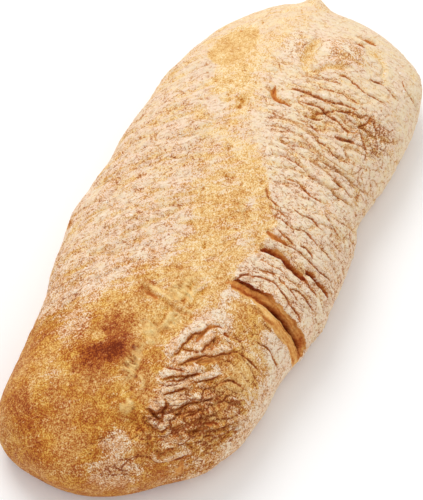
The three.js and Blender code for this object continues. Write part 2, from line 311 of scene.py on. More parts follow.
@dataclass(frozen=True)
class SkinLattice:
    """Lattice of quads that covers the loaf, split finer where the skin is folded and torn.

    evening is the power that draws the lines along the loaf together again in its middle, where
    the bluntness of the ends drives them apart. Each of the crowded places is a middle and a
    reach, from -1 to 1 along the cube, and an extra density. Each of the finer places is an
    ellipse in plan, above a height of fine_above: its middle, its reach and its turn.
    """

    along: int = 222
    across: int = 85
    rows_above: int = 28
    rows_below: int = 7
    evening: float = 1.38
    crowd_along: tuple = ((-0.265, 0.085, 0.9), (-0.65, 0.15, 0.3), (0.0, 0.08, 0.25))
    crowd_across: tuple = ((-0.6, 0.5, 0.2),)
    base_rings: tuple = (0.99, 0.96, 0.88, 0.6)
    fine_above: float = 5.0
    fine_places: tuple = (
        ((35, -42), (92, 42), 0), ((-62, -40), (40, 27), 0), ((-100, -26), (14, 20), 0),
        ((-50, -6), (15, 9), -15), ((-88, -8), (14, 8), 22), ((107, -15), (8, 9), 0),
        ((-4, -16), (14, 8), -20),
    )
    samples: int = 2001

    def lines(self, count: int, crowding: tuple) -> Array:
        """Line positions from -1 to 1 that crowd where they are asked to.

        Args:
            count: Number of cells between the lines.
            crowding: Middles, reaches and extra densities.

        Returns:
            The positions of the count + 1 lines.
        """
        fine = np.linspace(-1, 1, self.samples)
        density = 1 + sum(extra * bump(fine - at, reach) for at, reach, extra in crowding)
        total = np.concatenate([[0], np.cumsum((density[1:] + density[:-1]) / 2)])
        return np.interp(np.linspace(0, total[-1], count + 1), total, fine)

    def build(self, form: LoafForm) -> tuple[Array, list]:
        """The closed lattice on the plain loaf.

        Args:
            form: The plain loaf.

        Returns:
            Points, one row each, and faces as lists of point numbers.
        """
        a_lines = self.lines(self.along, self.crowd_along)
        a_lines = np.sign(a_lines) * np.abs(a_lines) ** self.evening
        b_lines = self.lines(self.across, self.crowd_across)
        below = np.linspace(-1, 0, self.rows_below + 1)[:-1]
        c_lines = np.concatenate([below, np.linspace(0, 1, self.rows_above + 1)])
        sides = [
            (a_lines, b_lines, lambda s, t: (s, t, 1.0)),
            (c_lines, a_lines, lambda s, t: (t, 1.0, s)),
            (a_lines, c_lines, lambda s, t: (s, -1.0, t)),
            (b_lines, c_lines, lambda s, t: (1.0, s, t)),
            (c_lines, b_lines, lambda s, t: (-1.0, t, s)),
        ]
        corners, quads = [], []
        for first, second, where in sides:
            base = sum(len(block) for block in corners)
            s, t = (grid.ravel() for grid in np.meshgrid(first, second, indexing="ij"))
            corners.append(np.column_stack([np.broadcast_to(value, s.shape) for value in where(s, t)]))
            i, j = np.meshgrid(np.arange(len(first) - 1), np.arange(len(second) - 1), indexing="ij")
            start = (base + i * len(second) + j).ravel()
            quads.append(np.column_stack([start, start + len(second), start + len(second) + 1, start + 1]))
        rounded = np.round(np.vstack(corners), 7) + 0.0
        joined, number = np.unique(rounded, axis=0, return_inverse=True)
        joined, faces = self.refine(form, joined, number.ravel()[np.vstack(quads)])
        return self.close_base(form.place(*joined.T), faces, joined[:, 2] == -1.0)

    def is_fine(self, middles: Array) -> Array:
        """Which of the quads with these middles on the plain loaf are split."""
        fine = np.zeros(len(middles), dtype=bool)
        for at, reach, turn in self.fine_places:
            along, aside = turned(*(middles[:, :2] - at).T, turn)
            fine |= (along / reach[0]) ** 2 + (aside / reach[1]) ** 2 < 1
        return fine & (middles[:, 2] > self.fine_above)

    def refine(self, form: LoafForm, cube: Array, quads: Array) -> tuple[Array, list]:
        """Splits the quads of the finer places in four, and joins them to their neighbours.

        Args:
            form: The plain loaf.
            cube: Points of the lattice on the cube.
            quads: Numbers of the four points of each quad.

        Returns:
            Points on the cube, and faces as lists of point numbers.
        """
        centres = cube[quads].mean(axis=1)
        fine = self.is_fine(form.place(*centres.T))
        ends = np.sort(np.stack([quads, np.roll(quads, -1, axis=1)], axis=2), axis=2)
        edges, edge_of = np.unique(ends.reshape(-1, 2), axis=0, return_inverse=True)
        edge_of = edge_of.reshape(len(quads), 4)
        split = np.zeros(len(edges), dtype=bool)
        split[edge_of[fine]] = True
        middle_of = np.where(split, len(cube) + np.cumsum(split) - 1, -1)
        touched = split[edge_of].any(axis=1)
        centre_of = len(cube) + split.sum() + np.cumsum(touched) - 1
        points = np.vstack([cube, cube[edges[split]].mean(axis=1), centres[touched]])
        faces = quads[~touched].tolist()
        for quad in np.flatnonzero(touched):
            around = []
            for corner, edge in zip(quads[quad], edge_of[quad]):
                around += [int(corner), int(middle_of[edge])]
            centre = int(centre_of[quad])
            if fine[quad]:
                ring = around[-1:] + around[:-1]
                faces += [[ring[i], ring[i + 1], ring[(i + 2) % 8], centre] for i in (0, 2, 4, 6)]
            else:
                ring = [number for number in around if number >= 0]
                faces += [[one, other, centre] for one, other in zip(ring, ring[1:] + ring[:1])]
        return points, faces

    def close_base(self, points: Array, faces: list, on_ring: Array) -> tuple[Array, list]:
        """Closes the flat base with rings that shrink to its middle.

        Args:
            points: Points of the open lattice.
            faces: Faces of the open lattice.
            on_ring: Which of the points lie on the open lower edge.

        Returns:
            Points and faces of the closed lattice.
        """
        ring = np.flatnonzero(on_ring)
        ring = ring[np.argsort(np.arctan2(points[ring, 1], points[ring, 0]))]
        edge = points[ring]
        blocks, count = [points], len(points)
        for share in self.base_rings:
            blocks.append(edge * (share, share, 0))
            inner = np.arange(count, count + len(ring))
            faces += np.column_stack([ring, inner, np.roll(inner, -1), np.roll(ring, -1)]).tolist()
            ring, count = inner, count + len(ring)
        blocks.append(np.zeros((1, 3)))
        faces += [[int(one), count, int(other)] for one, other in zip(ring, np.roll(ring, -1))]
        return np.vstack(blocks), faces


# ---------------- the skin and what shapes it


def smooth_run(run: Array, steps: int = 8) -> Array:
    """Smooth line through points.

    Args:
        run: Points that the line passes through, one row each.
        steps: Short straights between two of the points.

    Returns:
        Points along the line.
    """
    ends = np.vstack([2 * run[0] - run[1], run, 2 * run[-1] - run[-2]])
    t = np.linspace(0, 1, steps, endpoint=False)[:, None]
    line = [
        start
        + t * (stop - before) / 2
        + t**2 * (before - 2.5 * start + 2 * stop - after / 2)
        + t**3 * (1.5 * start - 1.5 * stop + (after - before) / 2)
        for before, start, stop, after in zip(ends, ends[1:], ends[2:], ends[3:])
    ]
    return np.vstack([*line, run[-1:]])


@dataclass
class Skin:
    """The loaf's skin while it is being shaped: plain points, relief and colour fields.

    finest_line is the least half width of a marked line, line_loss how far the mark of a faint
    line sinks, and edge_reach the width of the slope at a bare edge. Each of the wanders is how
    far lines stray, over what distance, and a seed. Relief fades out at base_fade above the
    base, and no point but the base's own lies lower than base_gap.
    """

    form: LoafForm
    points: Array
    faces: list
    finest_line: float = 1.7
    line_loss: float = 0.45
    edge_reach: float = 1.8
    crown_steps: int = 4000
    section_steps: int = 24
    wanders: tuple = ((0.55, 4.5, 0), (0.28, 1.6, 10))
    below_shift: float = 0.37
    base_fade: float = 5.0
    base_gap: float = 0.15
    normals: Array = field(init=False)
    along: Array = field(init=False)
    around: Array = field(init=False)
    wander: Array = field(init=False)
    height: Array = field(init=False)
    slide: Array = field(init=False)
    tones: dict = field(init=False)

    def __post_init__(self) -> None:
        """Measures the plain skin and clears the relief and the colour fields."""
        self.normals = self.measure_normals(self.points)
        self.along = self.measure_along()
        self.around = self.measure_around()
        self.wander = self.measure_wander()
        self.height = np.zeros(len(self.points))
        self.slide = np.zeros((len(self.points), 3))
        self.tones = {tone: np.zeros(len(self.points)) for tone in Tone}

    def measure_normals(self, points: Array) -> Array:
        """Outward normals at the points of the skin's faces."""
        normals = np.zeros_like(points)
        for size in (3, 4):
            faces = np.array([face for face in self.faces if len(face) == size])
            across = points[faces[:, size // 2]] - points[faces[:, 0]]
            down = points[faces[:, -1]] - points[faces[:, size // 2 - 1]]
            area = np.cross(across, down)
            for column in faces.T:
                np.add.at(normals, column, area)
        return normals / np.maximum(np.linalg.norm(normals, axis=1), TINY)[:, None]

    def measure_along(self) -> Array:
        """Distance along the crown line from the middle of the loaf to each point."""
        x = np.linspace(-self.form.half, self.form.half, self.crown_steps + 1)
        steps = np.hypot(np.diff(x), np.diff(self.form.crown_rise(x)))
        length = np.concatenate([[0], np.cumsum(steps)])
        return np.interp(self.points[:, 0], x, length - length[-1] / 2)

    def measure_around(self) -> Array:
        """Distance round the section from the top to each point, signed by the flank."""
        x, y, z = self.points.T
        side = y - self.form.midline(x)
        width = np.maximum(self.form.outward(x, side), TINY)
        rise = np.maximum(self.form.crown_rise(x), TINY)
        power = self.form.section_power
        share = np.where(z > self.form.rim, np.clip(np.abs(side) / width, 0, 1), 1)
        turn = np.arccos(share ** (power / 2))
        total = np.zeros(len(x))
        last = (np.zeros(len(x)), rise)
        for step in np.linspace(0, 1, self.section_steps + 1)[1:]:
            angle = math.pi / 2 - step * (math.pi / 2 - turn)
            here = (width * np.cos(angle) ** (2 / power), rise * np.sin(angle) ** (2 / power))
            total += np.hypot(here[0] - last[0], here[1] - last[1])
            last = here
        return np.sign(side) * (total + np.maximum(self.form.rim - z, 0))

    def measure_wander(self) -> Array:
        """Small pushes, in mm, by which the lines on the crust stray from their runs."""
        pushes = [
            sum(far * self.noise(axis + seed, over) for far, over, seed in self.wanders)
            for axis in range(3)
        ]
        return np.column_stack(pushes)

    @property
    def below(self) -> Array:
        """Distance of each point below the rim, 0 above it."""
        return np.maximum(self.form.rim - self.points[:, 2], 0)

    def flat(self, spacing: float, length: float, turn: float = 0.0) -> Array:
        """Places on the skin in units of a cell that long and wide in mm, turned from the girth."""
        s, t = turned(self.along, self.around, turn)
        return np.column_stack([s / spacing, t / length, self.below / length + self.below_shift])

    def noise(
        self, seed: int, size: float, layers: int = 1, keep: float = 0.5, picked: Array | slice = slice(None)
    ) -> Array:
        """Layered noise with coarsest cells of a size in mm, at all points or at some of them."""
        return Grain(seed).layered(self.points[picked] / size, layers, keep)

    def raise_tone(self, tone: Tone, picked: Array | slice, value: Array) -> None:
        """Lifts a field to at least a value at some of the points."""
        self.tones[tone][picked] = np.maximum(self.tones[tone][picked], value)

    def mark_line(self, tone: Tone, picked: Array, distance: Array, reach: float, amount: Array) -> None:
        """Marks a line as a ridge of a field out to its reach, lower where amount is under 1."""
        ridge = 1 - distance / max(reach, self.finest_line)
        self.raise_tone(tone, picked, ridge - self.line_loss * (1 - np.clip(amount, 0, 1)))

    def mark_bare(self, picked: Array, inside: Array) -> None:
        """Bares the skin inside an edge, from its distance inside in mm, with a slope that stays smooth."""
        self.raise_tone(Tone.BARE, picked, np.clip(0.5 + inside / self.edge_reach, 0, 1))

    def shaped(self) -> Array:
        """The points with their relief, which fades out at the flat base."""
        rising = ease(self.points[:, 2], 0.0, self.base_fade)[:, None]
        moved = self.points + (self.normals * self.height[:, None] + self.slide) * rising
        on_base = self.points[:, 2] < TINY
        moved[:, 2] = np.where(on_base, 0, np.maximum(moved[:, 2], self.base_gap))
        return moved


@dataclass(frozen=True)
class Line:
    """A line drawn on the plain crust, from its run in plan."""

    run: tuple

    def lay(self, skin: Skin, reach: float) -> tuple:
        """Finds the skin beside the line and where it lies.

        Args:
            skin: The skin.
            reach: Distance in mm past which the line is not felt.

        Returns:
            Numbers of the points beside it, and for each its distance, its share of the way
            along, its side, positive on the right, and the direction towards the line.
        """
        line = skin.form.on_crust(smooth_run(np.array(self.run, float)))
        low, high = line.min(axis=0) - reach, line.max(axis=0) + reach
        picked = np.flatnonzero(((skin.points > low) & (skin.points < high)).all(axis=1))
        places, normals = (skin.points + skin.wander)[picked], skin.normals[picked]
        distance = np.full(len(picked), np.inf)
        share, side = np.zeros(len(picked)), np.zeros(len(picked))
        towards = np.zeros((len(picked), 3))
        lengths = np.linalg.norm(np.diff(line, axis=0), axis=1)
        passed = np.concatenate([[0], np.cumsum(lengths)])
        for index, (start, step) in enumerate(zip(line, np.diff(line, axis=0))):
            part = np.clip((places - start) @ step / (step @ step), 0, 1)
            gap = places - start - part[:, None] * step
            far = np.linalg.norm(gap, axis=1)
            closer = far < distance
            distance = np.where(closer, far, distance)
            share = np.where(closer, (passed[index] + part * lengths[index]) / passed[-1], share)
            sense = np.einsum("ij,ij->i", np.cross(gap, step), normals)
            side = np.where(closer, np.sign(sense), side)
            towards = np.where(closer[:, None], -gap / np.maximum(far, TINY)[:, None], towards)
        return picked, distance, share, side, towards


@dataclass(frozen=True)
class Mound:
    """A mound or hollow of the crust, with its middle in plan."""

    at: Plan
    reach: Plan
    height: float = 0.0
    turn: float = 0.0

    def share(self, skin: Skin) -> Array:
        """How much of the mound each point of the skin has, from 0 to 1."""
        gap = skin.points - skin.form.on_crust(np.array([self.at], float))[0]
        along, aside = turned(gap[:, 0], gap[:, 1], self.turn)
        parts = (along / self.reach[0], aside / self.reach[1], gap[:, 2] / max(self.reach))
        return bump(np.sqrt(sum(part**2 for part in parts)), 1)

    def shape(self, skin: Skin) -> None:
        """Raises or sinks the skin."""
        skin.height += self.height * self.share(skin)


@dataclass(frozen=True)
class Crease(Line):
    """A crease, crack or fold that runs over the crust.

    Its width is half its opening, and near is the share of it on the right of the run. brown is
    how dark the line down its middle is, fold how brown the bared skin between its walls, and
    swept how much flour is missing from it. Its width is uneven by a share, over some mm.
    """

    width: float
    depth: float
    lip: float = 0.25
    near: float = 1.0
    brown: float = 1.0
    fold: float = 0.0
    swept: float = 0.4
    uneven: float = 0.5
    uneven_over: float = 5.0
    seed: int = 17

    def shape(self, skin: Skin) -> None:
        """Sinks the crease into the skin and marks its colour."""
        picked, distance, share, side, _ = self.lay(skin, 6 * self.width)
        uneven = 1 + self.uneven * skin.noise(self.seed, self.uneven_over, picked=picked)
        width = self.width * uneven * np.where(side > 0, self.near, 2 - self.near)
        taper = tapered(share, 4)
        groove = np.exp(-((distance / width) ** 3))
        lip = bump(distance - 2.0 * width, 1.1 * width)
        skin.height[picked] += (self.lip * lip - self.depth * groove) * taper
        skin.tones[Tone.FLOUR][picked] -= self.swept * bump(distance, 1.3 * width) * taper
        amount = self.brown * (0.65 + 0.35 * uneven) * np.sqrt(taper)
        skin.mark_line(Tone.CRACK, picked, distance, 2.4 * self.width, amount)
        if self.fold > 0:
            skin.mark_bare(picked, width * taper - distance - 1.2 * (1 - taper))
            skin.raise_tone(Tone.FOLD, picked, self.fold * bump(distance, self.width))


@dataclass(frozen=True)
class Gash(Line):
    """An open fold under a flap of skin that lies on the left of its run.

    Its profiles hold heights and brownness at distances in mm from its bottom, negative on the
    right; near the head of the run the brownness is darkest just under the flap's edge, which is
    painted shadow of the flap. Each changes from the first to the second over part of the run.
    Its edges are ragged by up to some mm, and its walls are drawn into stripes that run along it.
    """

    rises: tuple
    browns_and_shadows: tuple
    change: Plan = (0.12, 0.5)
    flap: float = 4.5
    ragged: float = 0.9
    ragged_over: float = 3.2
    ragged_seed: int = 23
    overhang: float = 0.0
    stripe_seed: int = 27
    stripe_cell: tuple = (0.25, 2.2, 20.0)
    stripe_height: float = 0.6
    stripe_stain: float = 0.6
    felt: float = 12.0

    def shape(self, skin: Skin) -> None:
        """Opens the fold, leans its flap over it, and marks its colour and the painted shadow under the flap.
        """
        picked, distance, share, side, towards = self.lay(skin, self.felt)
        torn = self.ragged * skin.noise(self.ragged_seed, self.ragged_over, 2, picked=picked)
        place = -side * distance + torn * ease(-side * distance, 1.5, 4)
        part = ease(share, *self.change)
        taper = tapered(share, 6)
        rise, brown_and_shadow = (
            (1 - part) * np.interp(place, *zip(*first)) + part * np.interp(place, *zip(*second))
            for first, second in (self.rises, self.browns_and_shadows)
        )
        skin.height[picked] += rise * taper
        over = self.overhang * bump(place - self.flap - 0.6, 1.4) * taper
        skin.slide[picked] += towards * over[:, None]
        edge = (1 - part) * self.browns_and_shadows[0][0][0] + part * self.browns_and_shadows[1][0][0]
        inside = np.minimum(self.flap - place, place - edge)
        skin.mark_bare(picked, inside - 2.5 * (1 - ease(taper, 0.0, 0.7)))
        cells = np.column_stack([share, place, skin.below[picked]]) / self.stripe_cell
        stripes = Grain(self.stripe_seed).layered(cells, 2)
        skin.height[picked] += self.stripe_height * stripes * ease(inside, -1, 1) * taper
        # The fold field takes the bared skin's brown, the painted shadow just under the flap's edge, and the
        # stripes' own colour.
        skin.raise_tone(Tone.FOLD, picked, brown_and_shadow + self.stripe_stain * stripes * (1.2 - brown_and_shadow))


@dataclass(frozen=True)
class Strap(Line):
    """A raised strap of skin with a rounded, floured back and a thin fold on its right.

    Where its back rises and falls and where its fold lies are in widths from the run.
    """

    width: float
    height: float
    flour: float = 0.9
    back_rise: Plan = (-2.6, -0.2)
    back_fall: Plan = (1.3, 0.6)
    fold_at: float = 1.6
    fold_width: float = 0.5
    line_at: float = 1.5
    uneven: float = 0.45
    uneven_over: float = 5.0
    seed: int = 19

    def shape(self, skin: Skin) -> None:
        """Raises the strap, sinks its fold and flours its back."""
        picked, distance, share, side, _ = self.lay(skin, 5 * self.width)
        taper = tapered(share, 6)
        grain = skin.noise(self.seed, self.uneven_over, 2, picked=picked)
        place = side * distance / (self.width * (1 + self.uneven * grain))
        back = ease(place, *self.back_rise) * ease(place, *self.back_fall) * taper
        fold = bump(place - self.fold_at, self.fold_width) * taper
        skin.height[picked] += self.height * (back - 0.7 * fold)
        skin.tones[Tone.FLOUR][picked] += self.flour * (back - 1.4 * fold)
        skin.mark_line(Tone.CRACK, picked, self.width * np.abs(place - self.line_at), 1.0, taper)


@dataclass(frozen=True)
class Patch(Mound):
    """A region of the crust that shifts a colour field by its height, with a soft edge."""

    edge: Plan = (0.0, 0.85)
    uneven: float = 0.8

    def paint(self, skin: Skin, tone: Tone, ragged: Array) -> None:
        """Adds the patch to a field, with its edge made uneven by ragged."""
        skin.tones[tone] += self.height * ease(self.share(skin) * (1 + self.uneven * ragged), *self.edge)


@dataclass(frozen=True)
class Markings:
    """Fine lines that run one way over part of the skin.

    Their spacing, their length and the half width of their valleys are in mm, and their turn is
    in degrees from the girth. ink is how dark the lines are, and warp how far they waver, as a
    share of a cell. They break off here and there, over some cells, between two values of noise.
    """

    seed: int
    spacing: float
    length: float
    turn: float
    depth: float
    width: float
    ink: float
    warp: float
    swept: float = 0.25
    broken: Plan = (-0.75, 0.25)
    broken_over: float = 3.0
    broken_seed: int = 500
    least: float = 0.01

    def lay(self, skin: Skin, share: Array) -> tuple[Array, Array]:
        """Finds the skin that is marked.

        Args:
            skin: The skin.
            share: How much of the markings each of its points has.

        Returns:
            Numbers of the points, and their places in cells of the markings.
        """
        picked = np.flatnonzero(share > self.least)
        cells = skin.flat(self.spacing, self.length, self.turn)[picked]
        return picked, Grain(self.seed).warped(cells, self.warp)

    def strength(self, places: Array, share: Array) -> Array:
        """How strong the markings are at places, from how much of them there is."""
        grain = Grain(self.seed + self.broken_seed)(places / self.broken_over)
        return ease(grain, *self.broken) * share


@dataclass(frozen=True)
class Wrinkling(Markings):
    """Fine wrinkles with a steep and a slack side, and swept how much flour they miss."""

    nudge: float = 0.05
    flattest: float = 0.35
    steep: float = 0.7
    slack: float = 1.6
    swell_reach: float = 0.45
    swell_rise: float = 0.8

    def shape(self, skin: Skin, share: Array) -> None:
        """Sinks the wrinkles where share says, swells the skin between them and marks them."""
        picked, places = self.lay(skin, share)
        grain = Grain(self.seed)
        value = grain(places)
        slopes = [
            (grain(places + self.nudge * np.eye(3)[axis]) - value) / (self.nudge * size)
            for axis, size in ((0, self.spacing), (1, self.length))
        ]
        distance = np.abs(value) / np.maximum(np.hypot(*slopes), self.flattest / self.spacing)
        sides = np.where(value * slopes[0] > 0, self.steep, self.slack)
        valley = bump(distance, self.width * sides)
        strength = self.strength(places, share[picked])
        swell = ease(distance, 0, self.swell_reach * self.spacing)
        skin.height[picked] += self.depth * strength * (self.swell_rise * swell - valley)
        skin.tones[Tone.FLOUR][picked] -= self.swept * strength * bump(distance, 1.2)
        skin.mark_line(Tone.CRACKLE, picked, distance, 0.0, self.ink * strength)


@dataclass(frozen=True)
class Plating(Markings):
    """Domed plates of dried skin with hairline valleys between them."""

    width: float = 0.45
    ink: float = 0.9
    warp: float = 0.6
    broken: Plan = (-0.8, 0.2)
    broken_over: float = 2.5
    finer: float = 5.0
    dome_reach: float = 0.4
    dome_rise: float = 0.7

    def shape(self, skin: Skin, share: Array) -> None:
        """Domes the plates where share says, and sinks and marks the valleys."""
        picked, places = self.lay(skin, share)
        places = Grain(self.seed).warped(self.finer * places, self.warp) / self.finer
        distance = Cells(self.seed).from_edge(places, np.array((self.spacing, self.length, self.length)))
        strength = self.strength(places, share[picked])
        dome = ease(distance, 0, self.dome_reach * self.spacing)
        valley = bump(distance, self.width)
        skin.height[picked] += self.depth * strength * (self.dome_rise * dome - valley)
        skin.mark_line(Tone.CRACKLE, picked, distance, 0.0, self.ink * strength)


@dataclass(frozen=True)
class Border:
    """A line along the loaf that parts two kinds of skin, as Y at stops of X."""

    stops: tuple

    def beyond(self, skin: Skin, ragged: Array) -> Array:
        """Distance in plan past the line towards +Y, made uneven by ragged, all in mm."""
        x, y = zip(*self.stops)
        return skin.points[:, 1] - np.interp(skin.points[:, 0], x, y) + ragged


# ---------------- sub-assemblies of the crust


@dataclass(frozen=True)
class BroadForm:
    """The swells, dents and lumps of the whole loaf, as the solid has them."""

    mounds: tuple = spread(
        Mound,
        (97, -12, 8, 11, 4.4, 10), (91, 9, 8, 7, 1.2), (119, 13, 5, 5.5, 5), (113, -42, 9, 9, 2),
        (79, 35, 17, 8, -0.9, -15), (66, 38, 9, 4, 1.4, -20), (42, -51, 6, 7, -2.4),
        (-16, -44, 6, 16, 1.6), (-38, -38, 8, 18, 1.8), (16, -34, 12, 20, 0.9), (-76, 4, 16, 12, 1.2),
        (-104, 30, 14, 12, 1.6), (-47, 2, 5, 4, -1.6, 20), (-99, -18, 4, 6, -1.5), (-126, 2, 9, 12, 4.2),
        (-124, 27, 8, 8, -2), (-60, -30, 13, 9, 1.3, 30), (-80, -32, 12, 12, -1.0),
        (70, -40, 9, 12, -1.2),
    )
    lump_seed: int = 5
    lump_count: int = 70
    lump_reach: Plan = (7, 17)
    lump_height: Plan = (-1, 1)
    draw_factor: int = 16807
    draw_modulus: int = 2147483647

    def chance(self) -> Iterator[float]:
        """Repeatable draws from 0 to 1."""
        state = self.lump_seed
        while True:
            state = state * self.draw_factor % self.draw_modulus
            yield state / self.draw_modulus

    def lumps(self, form: LoafForm) -> Iterator[Mound]:
        """The slow unevenness of the loaf, as low mounds and hollows.

        Args:
            form: The plain loaf.

        Yields:
            Each mound in turn.
        """
        draw = self.chance()
        for _ in range(self.lump_count):
            x = form.half * (2 * next(draw) - 1)
            y = float(form.midline(x) + form.outward(x, 1) * (2 * next(draw) - 1))
            low, high = self.lump_reach
            reach = tuple(low + (high - low) * next(draw) for _ in range(2))
            turn = 180 * next(draw)
            low, high = self.lump_height
            yield Mound((x, y), reach, low + (high - low) * next(draw), turn)

    def shape(self, skin: Skin) -> None:
        """Gives the skin its broad relief, less and less of it below the rim."""
        for mound in (*self.mounds, *self.lumps(skin.form)):
            mound.shape(skin)
        skin.height *= np.minimum(1, skin.points[:, 2] / skin.form.rim)


@dataclass(frozen=True)
class DeepFolds:
    """The deep fold of the wrinkled flank under its flap, and the folds beside it."""

    main: Gash = Gash(
        ((-28.2, -24.5), (-27.6, -29), (-26.6, -34), (-26, -38.5), (-26.2, -43), (-26.8, -49),
         (-27, -60)),
        rises=(
            ((-4, 0), (-1.5, 0.3), (-0.3, -0.9), (0.6, -0.7), (2.2, -1.0), (4.0, -2.0), (4.5, 0.8),
             (6, 0.9), (10, 0)),
            ((-8, 0), (-5.8, 0.6), (-4.7, -0.2), (-3.5, 0.6), (-2.7, 0.9), (-2.2, 0.1), (-1.6, 0.5),
             (-1.0, -2.2), (-0.3, -5.2), (0.7, -5.4), (1.3, -3.2), (2.0, -1.6), (3.9, -0.7), (4.5, 0.9),
             (6, 1.0), (10, 0)),
        ),
        # Brownness of the bared skin; in the first profile the dark band from 3.3 mm up to the flap's edge is
        # painted shadow under the flap.
        browns_and_shadows=(
            ((-1.4, 0.0), (-0.8, 0.25), (-0.2, 0.7), (0.4, 0.7), (1.0, 0.4), (2.6, 0.35), (3.3, 0.8),
             (4.3, 1.0)),
            ((-6.0, 0.05), (-5.3, 0.1), (-4.7, 0.45), (-4.0, 0.05), (-2.8, 0.05), (-2.2, 0.5), (-1.7, 0.15),
             (-1.2, 0.6), (-0.8, 1.0), (0.9, 1.0), (1.4, 0.6), (2.0, 0.35), (2.6, 0.6), (3.2, 0.25),
             (4.2, 0.3)),
        ),
        overhang=0.9,
    )
    creases: tuple = (
        Crease(((-30.4, -36), (-31.4, -42), (-32.6, -48), (-33.4, -53)), 0.6, 0.7, 0.5, brown=0.7,
               fold=0.2),
        Crease(
            ((-6.8, -27), (-5.6, -31), (-5.0, -34), (-5.2, -38.5), (-5.8, -42.5), (-6.2, -46.5), (-6, -49.5)),
            1.7, 3.4, 0.5, near=0.8, fold=1.0,
        ),
        Crease(((-2.4, -46), (-2, -49.6), (-2, -54), (-0.8, -58)), 1.4, 2.8, 0.5, fold=1.0),
        Crease(((-6.4, -49), (-7, -52), (-7.6, -55)), 0.6, 1.1, 0.2),
        Crease(((1.6, -25.5), (1.2, -29.9), (1.3, -33.7), (1.9, -37.7)), 1.1, 1.8, 0.45, fold=0.6),
        Crease(((1.2, -34), (1.9, -37.7), (2.1, -41.5), (1.8, -46), (2.5, -52.1), (4.2, -55.4)), 0.7, 1.4,
               0.3),
        Crease(((4.8, -28.9), (4, -32.2), (3.5, -36.3), (3.4, -39.3)), 0.6, 1.2, 0.3),
        Crease(((4.4, -40), (5.6, -43), (3.6, -46.5)), 0.5, 0.9, 0.2),
        Crease(((-15, -44), (-12.5, -49), (-12.8, -56)), 0.6, 1.1, 0.3),
        Crease(((-20, -29), (-17.8, -34), (-17, -39), (-18.4, -43), (-19.4, -48), (-20.8, -54)), 0.5, 0.6,
               0.2),
        Crease(((-16, -29.5), (-14.2, -34), (-13.6, -39), (-14.8, -44), (-16, -50)), 0.5, 0.6, 0.2,
               brown=0.8),
        Crease(((-12.2, -28.5), (-10.8, -34), (-10.4, -39), (-11.4, -43)), 0.45, 0.5, 0.2, brown=0.7),
        # This crease's dark line by the fold's head is painted shadow under the flap's ragged edge, in a
        # shallow groove.
        Crease(((-24.8, -25.5), (-21.4, -26.8), (-19, -30)), 0.5, 0.7, 0.3),
    )

    def shape(self, skin: Skin) -> None:
        """Sinks the folds."""
        self.main.shape(skin)
        for crease in self.creases:
            crease.shape(skin)


